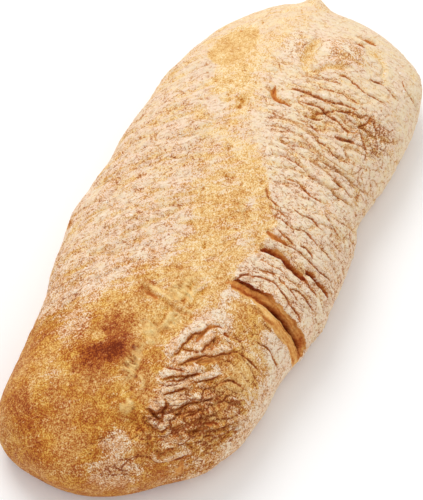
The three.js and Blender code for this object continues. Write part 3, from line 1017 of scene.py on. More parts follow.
@dataclass(frozen=True)
class FlankCracks:
    """The long cracks that run down the wrinkled flank, and the fan of grooves near the far end.

    The sizes of a long and of a thin crack are its width, depth, lip, near and brown.
    """

    long_cracks: tuple = (
        ((32.9, -10.3), (35.7, -14.6), (36.9, -19.8), (36.1, -25.6), (34.8, -29.7), (35.6, -35.1),
         (35.2, -40.3), (37, -44.4), (38.6, -50.5)),
        ((41.4, -9.2), (42.6, -13.8), (44.8, -19.4), (46, -24.7), (45.1, -30.5), (44.9, -35.1),
         (46.3, -39.9), (46.6, -47)),
    )
    long_crack: tuple = (0.7, 1.5, 0.35, 0.7, 0.85)
    thin_crack: tuple = (0.5, 0.8, 0.25, 1.0, 0.85)
    thin_cracks: tuple = (
        ((9, -23), (9.5, -30), (9, -34), (11, -38.5), (10.5, -44), (11, -53)),
        ((24, -41), (22.5, -46), (21, -50)),
        ((19, -16), (15, -20), (14, -25)),
        ((12, -21), (12.5, -26), (11.6, -30)),
        ((17.5, -27), (16.2, -33), (17.8, -39), (16.5, -46)),
        ((27.5, -20), (28.6, -27), (26.8, -34), (28.4, -40)),
        ((40.2, -36), (41.6, -42), (41, -46)),
        ((50.5, -19), (52, -26), (51, -33), (52.4, -40)),
        ((55, -11), (56.2, -17), (55, -23)),
        ((85, -13), (86.4, -21), (85, -29), (87, -38)),
        ((79.5, -6), (80.6, -13), (81.9, -20)),
        ((92, -27), (94.5, -34), (93.5, -42)),
        ((104, -38), (101, -43), (102, -50)),
    )
    grooves: tuple = (
        Crease(((66.5, 5.2), (61.4, 3), (59.4, -0.9), (59.6, -6.6)), 1.1, 2.0, 0.5, fold=0.65),
        Crease(((65.9, 0.6), (68.3, -3.5), (69.7, -10.6), (70.8, -18.4), (73.8, -24.7), (75.4, -31)),
               0.8, 1.1),
        Crease(((63.2, -7.2), (65.1, -13), (66, -16.9), (65.1, -21.4), (65.3, -26.2), (64.5, -31.5),
                (66.6, -35.4)), 0.8, 1.1),
        Crease(((61.4, -15.5), (65.1, -19.9), (70.3, -25), (73.2, -30.5), (73.6, -35)), 0.7, 0.9),
        Crease(((58.3, -28.5), (59.8, -32.6), (62.4, -36.9)), 0.9, 1.5, 0.5),
        Crease(((68.2, -36), (65.6, -39.7), (62.6, -42.7), (58.8, -43)), 0.7, 1.1),
        Crease(((69, -35), (73.5, -36.6), (78.5, -37)), 0.7, 0.9),
        Crease(((58.6, -13), (60.2, -18), (62.6, -21)), 0.7, 1.0),
        Crease(((74.5, -8), (75.4, -15), (77.5, -22), (78.2, -30)), 0.6, 0.8, brown=0.8),
        Crease(((99.8, 1.7), (94, 1), (88.5, 0.4), (83.6, 0.7)), 1.3, 1.8, 0.3, brown=0.3, swept=0.5),
        Crease(((83.6, 0.7), (81.2, -2), (80.8, -5.3), (83.5, -8.5), (87.1, -10.8), (90.5, -18.9)), 1.2, 1.0,
               0.3, brown=0.2, swept=0.5),
        Crease(((111, -11.6), (111.2, -16.5), (113, -21)), 1.5, 2.2, 0.4, fold=0.65),
        Crease(((105.2, -13.5), (106.2, -18.5)), 1.3, 2.0, 0.3, fold=0.9),
        Crease(((104.2, -18.9), (105.5, -24.3), (103.8, -28.7), (98.4, -32)), 1.3, 1.3, 0.3, brown=0.0,
               swept=0.8),
        Crease(((90.5, 34.5), (91.4, 37)), 0.9, 1.3, 0.2, fold=0.5),
        Crease(((97, 26), (97.6, 29)), 0.9, 1.2, 0.2, fold=0.5),
    )
    dents: tuple = spread(
        Mound,
        (45, -47.5, 3.2, 3, -1.0), (61, -17, 2.4, 2.6, -0.9), (53, 14, 1.7, 1.7, -2.0),
        (49.5, 13.5, 1.5, 1.5, -1.6), (58, 30, 1.3, 1.3, -1.6), (55, 21, 1.0, 1.0, -0.9),
    )
    fans: tuple = (
        (Mound((68, -18), (11, 19)), Wrinkling(31, 4.6, 18, 14, 0.4, 0.55, 0.9, 0.4)),
        (Mound((70, -41), (8, 13)), Plating(32, 2.6, 4.2, 0, 0.4)),
        (Mound((72, 15), (13, 9)), Wrinkling(33, 3.6, 22, 80, 0.25, 0.5, 0.7, 0.3)),
        (Mound((88, -24), (9, 9)), Wrinkling(34, 3.4, 9, 20, 0.25, 0.5, 0.6, 0.6)),
    )

    def shape(self, skin: Skin) -> None:
        """Sinks the cracks, grooves and dents, and wrinkles the skin between them."""
        for runs, sizes in ((self.long_cracks, self.long_crack), (self.thin_cracks, self.thin_crack)):
            for run in runs:
                Crease(run, *sizes).shape(skin)
        for crease in self.grooves:
            crease.shape(skin)
        for dent in self.dents:
            dent.shape(skin)
            skin.tones[Tone.BAKE] += 0.4 * dent.share(skin) ** 2
            skin.tones[Tone.FLOUR] -= 0.6 * dent.share(skin)
        for where, wrinkling in self.fans:
            wrinkling.shape(skin, ease(where.share(skin), 0.1, 0.6))


@dataclass(frozen=True)
class Straps:
    """The straps of skin drawn over the near part of the wrinkled flank, and the folds by them."""

    straps: tuple = (
        Strap(((-68, -17.5), (-60, -19), (-55, -20.5), (-51.5, -22.5), (-48.5, -25)), 1.5, 1.2),
        Strap(((-60, -26.5), (-54, -28.2), (-50, -29.6)), 1.2, 1.0),
        Strap(((-69, -22), (-61, -27.5), (-57.5, -32), (-53.5, -35.5), (-50, -38)), 1.1, 1.0),
        Strap(((-77, -19), (-72.5, -23.5), (-69.5, -28.4), (-66, -31)), 1.2, 1.0),
        Strap(((-89, -21), (-89.2, -24.5), (-87, -25.5), (-84, -24)), 1.0, 0.8),
        Strap(((-94, -24.5), (-94, -29), (-90.5, -31)), 1.0, 0.8),
        Strap(((-71, -31), (-66.5, -35.5), (-62, -38.5)), 1.1, 0.9, 0.6),
        Strap(((-84.5, -30), (-80, -33), (-75.5, -37)), 1.0, 0.8, 0.6),
        Strap(((-82, -22), (-78, -26.5), (-74.5, -30.5)), 1.0, 0.9, 0.6),
        Strap(((-103.5, -29), (-103.5, -32), (-100, -36.5), (-95, -41), (-93, -43)), 0.9, 0.6, 0.5),
    )
    folds: tuple = (
        Crease(((-57.5, -25), (-51.5, -25.5), (-47, -28), (-46, -31.5)), 0.8, 1.4, 0.4, fold=0.5),
        Crease(((-47.5, -32), (-47.5, -35)), 0.9, 1.4, 0.3, fold=0.8),
        Crease(((-51, -30.5), (-57.5, -31.5)), 0.7, 1.1, 0.3),
        Crease(((-63, -21.5), (-60.5, -28)), 0.7, 1.1, 0.3),
        Crease(((-65, -28.5), (-61, -33), (-56.5, -36.5)), 0.7, 1.2, 0.4, fold=0.4),
        Crease(((-72.5, -19.5), (-70.5, -26.5)), 0.7, 1.0, 0.3),
        Crease(((-78, -22), (-75, -26.5), (-71, -29.5), (-67.5, -32)), 0.7, 1.1, 0.4),
        Crease(((-90.8, -20.5), (-91.7, -24), (-91, -27.6), (-88, -27), (-84.5, -27.5)), 0.7, 1.1, 0.4),
        Crease(((-94, -21), (-95, -23.5), (-96.5, -27.5)), 0.7, 1.1, 0.3),
        Crease(((-91, -23), (-91.5, -24.5), (-92, -28), (-91, -29.5)), 0.9, 1.4, 0.4),
        Crease(((-87.5, -30.5), (-84.5, -34.5), (-80.5, -38)), 0.7, 1.1, 0.3),
        Crease(((-92.5, -33), (-91, -34), (-87, -36)), 0.9, 1.3, 0.4, fold=0.8),
        Crease(((-89, -37.5), (-88.5, -39), (-86.5, -41), (-82.5, -45)), 0.9, 1.4, 0.4),
        Crease(((-83, -42), (-81.5, -44), (-78, -47.5)), 0.8, 1.2, 0.3, fold=0.9),
        Crease(((-86.5, -44), (-82.5, -48)), 0.8, 1.3, 0.3),
        Crease(((-101.5, -30), (-101.5, -33), (-98, -35.5), (-97, -37.5)), 0.8, 1.2, 0.4),
        Crease(((-100.5, -26), (-103, -29)), 0.7, 1.0, 0.3),
        Crease(((-85.5, -48.5), (-79, -51), (-74.5, -52)), 0.7, 1.0, 0.3),
        Crease(((-92, -46), (-89.5, -46.5), (-87, -48)), 0.7, 1.0, 0.3),
        Crease(((-97, -40.5), (-100, -41.5)), 0.8, 1.0, 0.4, fold=0.6),
        Crease(((-99.5, -39), (-102.5, -39.5)), 0.8, 1.0, 0.4, fold=0.5),
        Crease(((-93, -39), (-92, -43.5)), 0.7, 1.0, 0.3),
        Crease(((-79.5, -49), (-72, -52.5)), 0.7, 1.0, 0.3),
        Crease(((-66.5, -40), (-62, -44), (-60.5, -50)), 0.6, 0.9, 0.3),
        Crease(((-52, -38), (-50, -44), (-50.5, -51)), 0.6, 0.9, 0.3),
        Crease(((-42, -42), (-40.5, -49), (-41.5, -55)), 0.6, 0.9, 0.3),
    )
    fields: tuple = (
        (Mound((-63, -27), (15, 9), turn=30), Wrinkling(41, 4.4, 13, 56, 0.4, 0.6, 0.6, 0.4)),
        (Mound((-82, -34), (18, 15)), Wrinkling(42, 3.6, 9, 48, 0.6, 0.55, 1.0, 0.6)),
        (Mound((-83, -35), (18, 14)), Plating(47, 2.8, 6.0, 40, 0.45, 0.45, 1.0, 0.8)),
        (Mound((-95, -27), (9, 9)), Plating(43, 3.4, 6, 20, 0.4)),
        (Mound((-84, -47), (25, 10)), Wrinkling(45, 3.2, 14, 52, 0.5, 0.5, 1.0, 0.5)),
        (Mound((-82, -46), (22, 10)), Plating(49, 3.2, 7, 45, 0.4, 0.45, 1.0, 0.8)),
        (Mound((-49, -46), (22, 10)), Wrinkling(44, 4.6, 13, -4, 0.4, 0.55, 0.9, 0.5)),
        (Mound((-52, -44), (24, 12)), Plating(48, 3.4, 7, -4, 0.25, ink=0.5)),
        (Mound((-111, -18), (13, 14)), Plating(46, 3.6, 6, 40, 0.4, ink=1.0)),
    )

    def shape(self, skin: Skin) -> None:
        """Raises the straps, sinks the folds and wrinkles the skin round them."""
        for where, wrinkling in self.fields:
            wrinkling.shape(skin, ease(where.share(skin), 0.12, 0.6))
        for piece in (*self.folds, *self.straps):
            piece.shape(skin)


@dataclass(frozen=True)
class TornSkin:
    """Places where the skin tore open and golden dough shows, strung with thin strands.

    open_tone, ridge_tone and smooth_tone are how pale the torn skin, the raised strands and the
    smooth tear are. The heights and the strands' sizes are in mm.
    """

    seed: int = 61
    strand_turn: float = 75.0
    strand_gap: float = 2.2
    strand_length: float = 6.5
    strand_half: float = 0.5
    depth: float = 1.0
    ragged: float = 0.45
    open_tone: float = 0.55
    ridge_tone: float = 0.62
    ridge_height: float = 0.55
    ridge_foot: float = 0.25
    smooth_tone: float = 0.28
    smooth_depth: float = 0.5
    tears: tuple = spread(
        Mound,
        (-40, -10, 9, 5.5, 0, -20), (-54, -11, 5, 4), (-62, -6.5, 8, 4, 0, 20), (-73.5, -6, 5, 4),
        (-80.5, -6.5, 6, 4.5, 0, 15), (-94, -13, 4.5, 3.5),
    )
    ridges: tuple = (
        ((-45.5, 8), (-45.2, 3.7), (-45.4, 0.5), (-46, -4), (-46.8, -8), (-47.3, -11.6), (-46.2, -14.3)),
        ((-41.5, 2.1), (-38.2, -0.3), (-34.8, -3.6), (-31.6, -7.5)),
        ((-39.4, -3.8), (-42.3, -7.9), (-46.5, -11.2)),
        ((-31.5, -16), (-35.8, -14.6), (-39.2, -13.2), (-45.9, -14.1)),
        ((-33.2, -8), (-34.6, -13)),
        ((-31.3, -9), (-32.9, -14)),
        ((-29.6, -10), (-31.1, -14.5)),
        ((-48.9, -11.5), (-53.2, -10.2), (-57.2, -10.1), (-61.1, -7.6), (-64.4, -3.3)),
        ((-70.3, -1.5), (-69.5, -4.8), (-69.3, -7.5)),
        ((-72, -6.5), (-75.6, -7.8), (-78.3, -8.9), (-80.7, -7), (-83, -3.5)),
        ((-80, -11), (-82.8, -14.2), (-85.9, -14.6), (-91, -13)),
    )
    smooth_tear: Mound = Mound((80, 33), (14, 9), turn=-8)
    pocket: Mound = Mound((-99, -18), (3.6, 6.5), -1.4)
    # The brown lines and fold colour of the first two flaps are painted shadow below the raised torn edge
    # beside them, laid in real grooves.
    flaps: tuple = (
        Crease(((-46.4, 7), (-47.6, 3.7), (-47.9, 0.5), (-48.4, -3)), 1.0, 1.7, 0.5, near=1.3, brown=0.8,
               fold=0.45),
        Crease(((-48.4, -3), (-49, -8), (-49.6, -13), (-48, -18)), 0.9, 1.0, 0.4, brown=0.5),
        Crease(((6.4, -8), (5.4, -11.8), (2, -15.2), (-1.6, -18)), 0.7, 0.8, 0.25, brown=0.6),
    )

    def shape(self, skin: Skin) -> None:
        """Opens pockets between the strands, raises the torn edges with painted shadow at their feet and in
        the flaps' grooves, and smooths the far tear.
        """
        x, y, z = skin.points.T
        sizes = np.array((self.strand_length, self.strand_gap, self.strand_length))
        along, aside = turned(x, y, self.strand_turn)
        places = Grain(self.seed + 1).warped(np.column_stack([along, aside, z]) / sizes, 0.6)
        distance = Cells(self.seed).from_edge(places, sizes)
        strand = bump(distance, self.strand_half)
        torn = np.zeros(len(skin.points))
        ragged = self.ragged * skin.noise(self.seed + 2, 5, 3, 0.7)
        for tear in self.tears:
            torn = np.maximum(torn, ease(tear.share(skin) + ragged, 0.2, 0.85))
        window = ease(distance, 0.2, 1.2) * ease(skin.noise(self.seed + 4, 5), -0.6, 0.4)
        skin.height += torn * self.depth * (0.5 * strand - window)
        rim = bump(distance - 0.8, 0.4) * ease(skin.noise(self.seed + 5, 3.5), -0.5, 0.4)
        patchy = skin.noise(self.seed + 6, 3, 2)
        skin.raise_tone(Tone.TORN, slice(None), torn * (self.open_tone - 0.4 * rim + 0.35 * patchy))
        smooth = ease(self.smooth_tear.share(skin), 0.3, 0.45)
        skin.height -= self.smooth_depth * smooth
        skin.raise_tone(Tone.TORN, slice(None), self.smooth_tone * smooth)
        skin.tones[Tone.BAKE] += 0.15 * smooth + torn * (0.24 * rim - 0.1 - 0.1 * patchy)
        skin.tones[Tone.FLOUR] -= 1.2 * smooth + 0.6 * torn
        self.pocket.shape(skin)
        skin.tones[Tone.FLOUR] -= 0.8 * ease(self.pocket.share(skin), 0.1, 0.5)
        # The flaps' grooves carry painted shadow below the torn edge.
        for flap in self.flaps:
            flap.shape(skin)
        for run in self.ridges:
            picked, distance, share, _, _ = Line(run).lay(skin, 4)
            ends = ease(share, 0, 0.1) * ease(share, 1, 0.9)
            ends *= ease(skin.noise(self.seed + 3, 4, picked=picked), -0.9, 0.1)
            back, foot = bump(distance, 0.9) * ends, bump(distance - 2.0, 0.7) * ends
            skin.height[picked] += self.ridge_height * back - self.ridge_foot * foot
            # The bake raised at each strand's foot is painted shadow beside the strand.
            skin.tones[Tone.BAKE][picked] += 0.1 * foot - 0.03 * back
            skin.raise_tone(Tone.TORN, picked, self.ridge_tone * back)


@dataclass(frozen=True)
class BakedSurface:
    """The small unevenness that the whole crust has: pits, pores, blisters and drawn skin.

    Each layer of roughness is a height, a seed, the size of its cells and its finer layers. The
    wrinkles run over the wrinkled flank and the streaks over the smooth one. The wrinkled flank
    stands above the band by its bank, and the edge between them strays, both in mm.
    """

    seed: int = 71
    rough_bare: tuple = ((0.26, 76, 5.5, 3, 0.6), (0.13, 79, 1.9))
    rough_floured: tuple = ((0.10, 80, 1.8),)
    bank: float = 0.4
    stray: float = 3.2
    pore_count: int = 150
    pore_reach: Plan = (0.7, 1.2)
    pore_depth: Plan = (0.4, 1.0)
    pore_along: Plan = (-105, 60)
    pore_middle: tuple = ((-105, -60, 0, 60), (8, 2, -5, 20))
    pore_spread: float = 12.0
    pore_stretch: Plan = (1, 1.8)
    right_border: Border = Border((
        (-128, -12), (-118, -14), (-108, -18), (-97, -20), (-90, -20), (-80, -18), (-70, -16), (-55, -18),
        (-40, -24), (-28, -24), (-20, -22), (-8, -27), (-3, -25.9), (2, -26.3), (7, -26.2), (10, -22.7),
        (15, -20.4), (18.5, -16.7), (23.5, -13.5), (28, -8), (37, 1), (43, 4), (46, 8), (51, 10),
        (55, 14), (67, 20), (82, 22), (95, 20), (128, 10),
    ))
    left_border: Border = Border((
        (-128, 50), (-95, 46), (-80, 38), (-70, 30), (-60, 22), (-50, 15), (-40, 8), (-30, 5), (-20, 3),
        (-10, 2), (0, 6), (20, 12), (40, 15), (60, 30), (80, 42), (128, 44),
    ))
    wrinkles: tuple = (
        Wrinkling(72, 7.0, 20, 8, 0.45, 0.5, 1.0, 0.5),
        Wrinkling(77, 4.0, 11, 6, 0.3, 0.5, 0.85, 0.6, 0.15),
        Plating(73, 3.6, 7.5, 8, 0.25, ink=0.7),
    )
    streaks: tuple = (
        Wrinkling(74, 5.0, 22, 43, 0.7, 0.8, 0.9, 0.45, 0.35),
        Wrinkling(75, 2.9, 12, 38, 0.35, 0.5, 0.85, 0.6, 0.1),
    )

    @staticmethod
    def border_width(x: Array) -> Array:
        """How softly the bare crust turns into the floured one on the wrinkled side, in mm."""
        return 1.8 + 7 * ease(x, 24, 42) + 3 * ease(-x, 60, 80)

    def ragged_edge(self, skin: Skin) -> Array:
        """How far the edge of the bare crust strays from its line, in mm."""
        return self.stray * skin.noise(self.seed, 9, 4, 0.6)

    def pores(self, form: LoafForm) -> Iterator[Mound]:
        """Small holes over the golden band and the near end.

        Args:
            form: The plain loaf.

        Yields:
            Each hole as a hollow.
        """
        draw = np.random.default_rng(self.seed)
        for _ in range(self.pore_count):
            x = draw.uniform(*self.pore_along)
            y = np.interp(x, *self.pore_middle) + draw.normal(0, self.pore_spread)
            reach = draw.uniform(*self.pore_reach)
            reaches = (reach * draw.uniform(*self.pore_stretch), reach)
            yield Mound((x, float(y)), reaches, -draw.uniform(*self.pore_depth))

    def shape(self, skin: Skin) -> None:
        """Wrinkles both flanks, roughens the band and the near end, and opens the pores."""
        x = skin.points[:, 0]
        ragged = self.ragged_edge(skin)
        right = -self.right_border.beyond(skin, ragged)
        left = self.left_border.beyond(skin, ragged)
        width = self.border_width(x)
        wrinkled = ease(right, -width, 1.5 * width)
        smooth = ease(left, -9, 8)
        skin.tones[Tone.WRINKLED] += wrinkled
        skin.height += self.bank * ease(right, -0.7, 0.7) * bump(x - 8, 28)
        for wrinkling in self.wrinkles:
            wrinkling.shape(skin, wrinkled * ease(x, -32, -22) * (1 - 0.6 * ease(x, 76, 92)))
        for wrinkling in self.streaks:
            wrinkling.shape(skin, smooth * (1 - 0.5 * ease(x, 60, 85)) * (1 - 0.7 * ease(-x, 70, 100)))
        bare = 1 - np.maximum(wrinkled, smooth)
        for share, layers in ((bare, self.rough_bare), (1 - bare, self.rough_floured)):
            skin.height += share * sum(height * skin.noise(*noise) for height, *noise in layers)
        for pore in self.pores(skin.form):
            pore.shape(skin)
            skin.tones[Tone.BAKE] += 0.2 * pore.share(skin) ** 2


@dataclass(frozen=True)
class Baking:
    """How far each part of the crust is browned, and how thick its flour lies.

    full is how thick the flour lies on the wrinkled and on the smooth flank, end_cover at the
    pale end and least on the bare band. Browns and dustings are added to that, patch by patch.
    The flour thins out over four stretches of X: the browned tip, the browned part and the far
    part of the smooth flank, and the pale end.
    """

    seed: int = 81
    along: tuple = (
        (-128, 0.57), (-100, 0.54), (-75, 0.49), (-58, 0.4), (-35, 0.33), (0, 0.31), (40, 0.27), (75, 0.2),
        (100, 0.17), (128, 0.17),
    )
    mottled: float = 0.06
    full: Plan = (0.9, 0.77)
    least: float = 0.2
    end_cover: float = 0.57
    tip: Plan = (92, 104)
    browned_part: Plan = (58, 98)
    far_part: Plan = (40, 80)
    pale_end: Plan = (58, 88)
    base_browned: float = 0.18
    base_bared: float = 0.35
    browns: tuple = spread(
        Patch,
        (-75, 7, 16, 11, 0.12, 20), (-78.5, 6, 11.5, 6, 0.12, -65), (-83, 9.5, 6.5, 5, 0.18, -65),
        (-89, -5, 7, 5, -0.1), (-76, 1.5, 5.4, 3.2, 0.2, -65), (-67, 5.6, 8, 6.5, 0.12),
        (-74.2, 11.4, 2.6, 3.2, -0.3), (-71.9, -3.9, 1.5, 1.2, 0.4), (-115, 23, 7, 6, 0.14),
        (-112, 31.5, 5, 4, 0.14), (-124, 15, 5, 8, 0.1), (-80, 35, 10, 5, 0.12, -40),
        (-94.5, 21, 5, 5, -0.1), (-47, 5, 5, 3, 0.14), (5, -8, 9, 5, 0.08), (-36, 12, 8, 6, 0.08),
        (97, -12, 10, 10, 0.2), (91, 8, 8, 7, 0.18), (71, -41, 8, 14, 0.2), (-80, -34, 15, 12, 0.07),
        (-35, -36, 9, 12, 0.12), (-57, -33, 9, 6, 0.14, -30), (-66, -2, 10, 5, -0.02),
        (-110, -38, 12, 10, 0.06), (-99, -18, 4, 6, 0.06), (-26.5, 54, 2.6, 4, 0.3),
        (66, 38, 9, 4, -0.1, -15),
    )
    dustings: tuple = spread(
        Patch,
        (65, 37, 10, 4.5, 0.8, -15), (97, -12, 8, 9, -0.25), (91, 8, 7, 6, -0.25), (88, -1, 9, 3, -0.4),
        (70, -42, 7, 12, -0.25), (30, 8, 14, 7, 0.28), (48, 18, 10, 6, 0.25), (14, -2, 8, 5, 0.22),
        (9, -14, 2.6, 1.6, 0.7), (-22, 6, 12, 6, 0.22), (-36, -12, 7, 4, 0.3, -30), (-8, -21, 6, 4, 0.35),
        (-18, -28, 7, 4, 0.45), (-40, -24, 10, 4, 0.35, -18), (-35, -36, 8, 13, -0.75),
        (-37, -50, 7, 7, 0.5), (-57, -33, 9, 6, -0.35, -30), (-80, -37, 13, 9, -0.25),
        (-90, -47, 16, 6, -0.5), (-107.5, -15.5, 5, 7.5, 0.55, 29, (0.15, 0.6)),
        (-116, -18.5, 4.6, 12.5, 0.54, 31, (0.15, 0.6)), (-112, -16, 7, 5, 0.2), (-100, -40, 10, 8, 0.2),
        (-92, -36, 9, 9, -0.3), (-70, -47, 16, 10, -0.3), (-58, -27, 14, 8, -0.25, -20),
        (42, 2, 14, 6, 0.3, 35), (59, 35.6, 4.5, 2.6, 0.8, -20, (0.25, 0.5)),
        (45.2, 23, 4, 2.6, 0.8, 0, (0.25, 0.5)), (-26.5, 54, 2.2, 3.6, -0.9), (-74, 5, 18, 13, -0.4),
        (-54, -46, 18, 10, -0.6), (-94.5, 21, 6, 4, 0.3), (-77, 21, 9, 6, 0.25),
        (-72, 24, 12, 7, 0.25, -35), (-90, 43, 20, 9, -0.3),
    )

    def paint(self, skin: Skin, surface: BakedSurface) -> None:
        """Lays the fields of baking and flour over the crust.

        Args:
            skin: The skin.
            surface: The surface whose borders part the bare crust from the floured one.
        """
        x, _, z = skin.points.T
        ragged = skin.noise(self.seed, 6, 4, 0.65)
        mottle = skin.noise(self.seed + 9, 14, 3, 0.6)
        bake, flour = skin.tones[Tone.BAKE], skin.tones[Tone.FLOUR]
        bake += np.interp(x, *zip(*self.along)) + self.mottled * mottle
        width = surface.border_width(x)
        right = -surface.right_border.beyond(skin, surface.ragged_edge(skin) + 0.25 * width * ragged)
        left = surface.left_border.beyond(skin, 7 * ragged)
        near = ease(14 * ragged + 8 * mottle - x, *self.browned_part)
        far = ease(x, *self.far_part)
        cover = self.full[0] - 0.85 * ease(-x, *self.tip)
        wrinkled = cover * ease(right, -0.6 * width, 1.4 * width)
        smooth = (self.full[1] - 0.58 * near - 0.2 * far) * ease(left, -9, 9)
        end = self.end_cover * ease(x, *self.pale_end)
        flour += np.maximum.reduce([wrinkled, smooth, end, self.least - 0.22 * near]) + 0.13 * mottle
        streaks = Grain(self.seed + 20).layered(skin.flat(4.5, 24, 43), 3)
        flour += 0.4 * streaks * ease(left, -12, 6)
        for tone, patches in ((Tone.BAKE, self.browns), (Tone.FLOUR, self.dustings)):
            for patch in patches:
                patch.paint(skin, tone, ragged)
        under = ease(-z, -9, -1)
        flour -= self.base_bared * under
        bake += self.base_browned * under

    def settle(self, skin: Skin) -> None:
        """Limits the fields and works out where loose flour lies."""
        for tone in Tone:
            np.clip(skin.tones[tone], 0, 1, out=skin.tones[tone])
        opened = (Tone.CRACK, Tone.BARE, Tone.CRACKLE)
        lines = 1 - np.maximum.reduce([skin.tones[tone] for tone in opened])
        upward = ease(skin.normals[:, 2], -0.3, 0.5)
        clumpy = ease(skin.noise(self.seed + 30, 7, 2), -0.3, 0.5)
        flour = skin.tones[Tone.FLOUR]
        skin.tones[Tone.GRAINS] = ease(flour, 0.3, 0.9) * ease(lines, 0.25, 0.75) * upward
        skin.tones[Tone.CLUMPS] = ease(flour, 0.6, 1.0) * ease(lines, 0.4, 0.8) * upward * clumpy


# ---------------- node wiring


def srgb(red: int, green: int, blue: int) -> tuple:
    """Linear colour with full alpha from 8-bit display values."""
    shares = (value / 255 for value in (red, green, blue))
    return (*(((s + 0.055) / 1.055) ** 2.4 if s > 0.04045 else s / 12.92 for s in shares), 1.0)


def stops(*rows: tuple) -> tuple:
    """Stops of a colour ramp from rows of a place and 8-bit display values."""
    return tuple((place, srgb(*colour)) for place, *colour in rows)


@dataclass
class Wiring:
    """A node tree with short ways to add nodes and join them."""

    tree: bpy.types.NodeTree

    def node(self, kind: str, inputs: dict | None = None, **settings) -> bpy.types.Node:
        """Adds a node.

        Args:
            kind: The node's type.
            inputs: Values or sockets for its inputs, by name or number.
            settings: Its other settings.

        Returns:
            The new node.
        """
        node = self.tree.nodes.new(kind)
        for name, value in settings.items():
            setattr(node, name, value)
        for name, value in (inputs or {}).items():
            self.feed(node.inputs[name], value)
        return node

    def feed(self, socket: Socket, value: object) -> None:
        """Joins a socket to an input, or sets the input's own value."""
        if isinstance(value, bpy.types.NodeSocket):
            self.tree.links.new(value, socket)
        else:
            socket.default_value = value

    def math(self, operation: str, *values: object, clamp: bool = False) -> Socket:
        """Result of one sum on numbers."""
        inputs = dict(enumerate(values))
        return self.node("ShaderNodeMath", inputs, operation=operation, use_clamp=clamp).outputs[0]

    def vector(self, operation: str, *values: object) -> Socket:
        """Result of one sum on vectors."""
        inputs = dict(enumerate(values))
        return self.node("ShaderNodeVectorMath", inputs, operation=operation).outputs[0]

    def scaled(self, vector: Socket, scale: float) -> Socket:
        """A vector made longer."""
        node = self.node("ShaderNodeVectorMath", {0: vector}, operation="SCALE")
        self.feed(node.inputs["Scale"], scale)
        return node.outputs[0]

    def step(
        self, value: Socket, low: object, high: object, to_low: float = 0.0, to_high: float = 1.0
    ) -> Socket:
        """A smooth step between two limits."""
        inputs = {0: value, 1: low, 2: high, 3: to_low, 4: to_high}
        return self.node("ShaderNodeMapRange", inputs, interpolation_type="SMOOTHSTEP").outputs[0]

    def noise(self, vector: Socket, scale: float, detail: float = 0.0, roughness: float = 0.5) -> Socket:
        """Noise from 0 to 1 at a vector."""
        inputs = {"Vector": vector, "Scale": scale, "Detail": detail, "Roughness": roughness}
        return self.node("ShaderNodeTexNoise", inputs).outputs[0]

    def weighed(self, start: object, sources: object, weights: tuple) -> Socket:
        """A start value plus some of the sources, each times its weight, by name."""
        for name, weight in weights:
            start = self.math("MULTIPLY_ADD", sources[name], weight, start)
        return start

    def centred(self, sources: object, weights: tuple) -> Socket:
        """Unevenness round 0 from sources that have their middle at a half."""
        return self.weighed(-sum(weight for _, weight in weights) / 2, sources, weights)

    def mix(self, factor: object, first: object, second: object, blend: str = "MIX") -> Socket:
        """One colour mixed into another."""
        inputs = {0: factor, 6: first, 7: second}
        return self.node("ShaderNodeMix", inputs, data_type="RGBA", blend_type=blend).outputs[2]

    def ramp(self, factor: Socket, stops: tuple) -> Socket:
        """Colour from a ramp with stops of place and colour."""
        node = self.node("ShaderNodeValToRGB", {0: factor})
        points = node.color_ramp.elements
        while len(points) < len(stops):
            points.new(1.0)
        for point, (place, colour) in zip(points, stops):
            point.position = place
            point.color = colour
        return node.outputs[0]

    def attribute(self, name: str, output: str = "Fac") -> Socket:
        """One of the mesh's own fields."""
        return self.node("ShaderNodeAttribute", attribute_name=name).outputs[output]

    def place_mm(self) -> Socket:
        """Object coordinates in millimetres."""
        return self.scaled(self.node("ShaderNodeTexCoord").outputs["Object"], 1 / MM)

    def group(self, tree: bpy.types.NodeTree, **inputs: object) -> bpy.types.Node:
        """Places a shader group with values for its inputs."""
        node = self.node("ShaderNodeGroup", node_tree=tree)
        for name, value in inputs.items():
            self.feed(node.inputs[name], value)
        return node


@dataclass(frozen=True)
class Effect:
    """A shader effect that several finishes share, as a node group that is built once."""

    name: str

    def inputs(self) -> dict:
        """Names of the group's inputs, each with its default value."""
        return {}

    def outputs(self) -> tuple:
        """Names of the group's outputs."""
        return ()

    def wire(self, wiring: Wiring, given: dict) -> dict:
        """Builds the effect from its inputs and returns its outputs, both by name."""
        return {}

    def tree(self) -> bpy.types.NodeTree:
        """The node group, made on first use."""
        if self.name in bpy.data.node_groups:
            return bpy.data.node_groups[self.name]
        tree = bpy.data.node_groups.new(self.name, "ShaderNodeTree")
        for name, value in self.inputs().items():
            kind = "NodeSocketVector" if isinstance(value, tuple) else "NodeSocketFloat"
            socket = tree.interface.new_socket(name, in_out="INPUT", socket_type=kind)
            socket.default_value = value
        for name in self.outputs():
            tree.interface.new_socket(name, in_out="OUTPUT", socket_type="NodeSocketFloat")
        wiring = Wiring(tree)
        given = wiring.node("NodeGroupInput").outputs
        results = self.wire(wiring, {name: given[name] for name in self.inputs()})
        wiring.node("NodeGroupOutput", results)
        return tree


@dataclass(frozen=True)
class Mottle(Effect):
    """Unevenness at three sizes, each from 0 to 1 with its middle at a half."""

    name: str = "mottle"

    def inputs(self) -> dict:
        """Place in mm and the three sizes in mm."""
        return {"Place": (0.0, 0.0, 0.0), "Blotch": 6.0, "Speck": 1.3, "Grain": 0.55}

    def outputs(self) -> tuple:
        """The three unevennesses."""
        return ("Blotches", "Specks", "Grains")

    def wire(self, wiring: Wiring, given: dict) -> dict:
        """Three noises, stretched to use their whole range."""
        results = {}
        sizes = (("Blotches", "Blotch", 3.0), ("Specks", "Speck", 1.0), ("Grains", "Grain", 0.0))
        for output, size, detail in sizes:
            scale = wiring.math("DIVIDE", 1.0, given[size])
            noise = wiring.noise(given["Place"], scale, detail, 0.6)
            results[output] = wiring.step(noise, 0.27, 0.73)
        return results


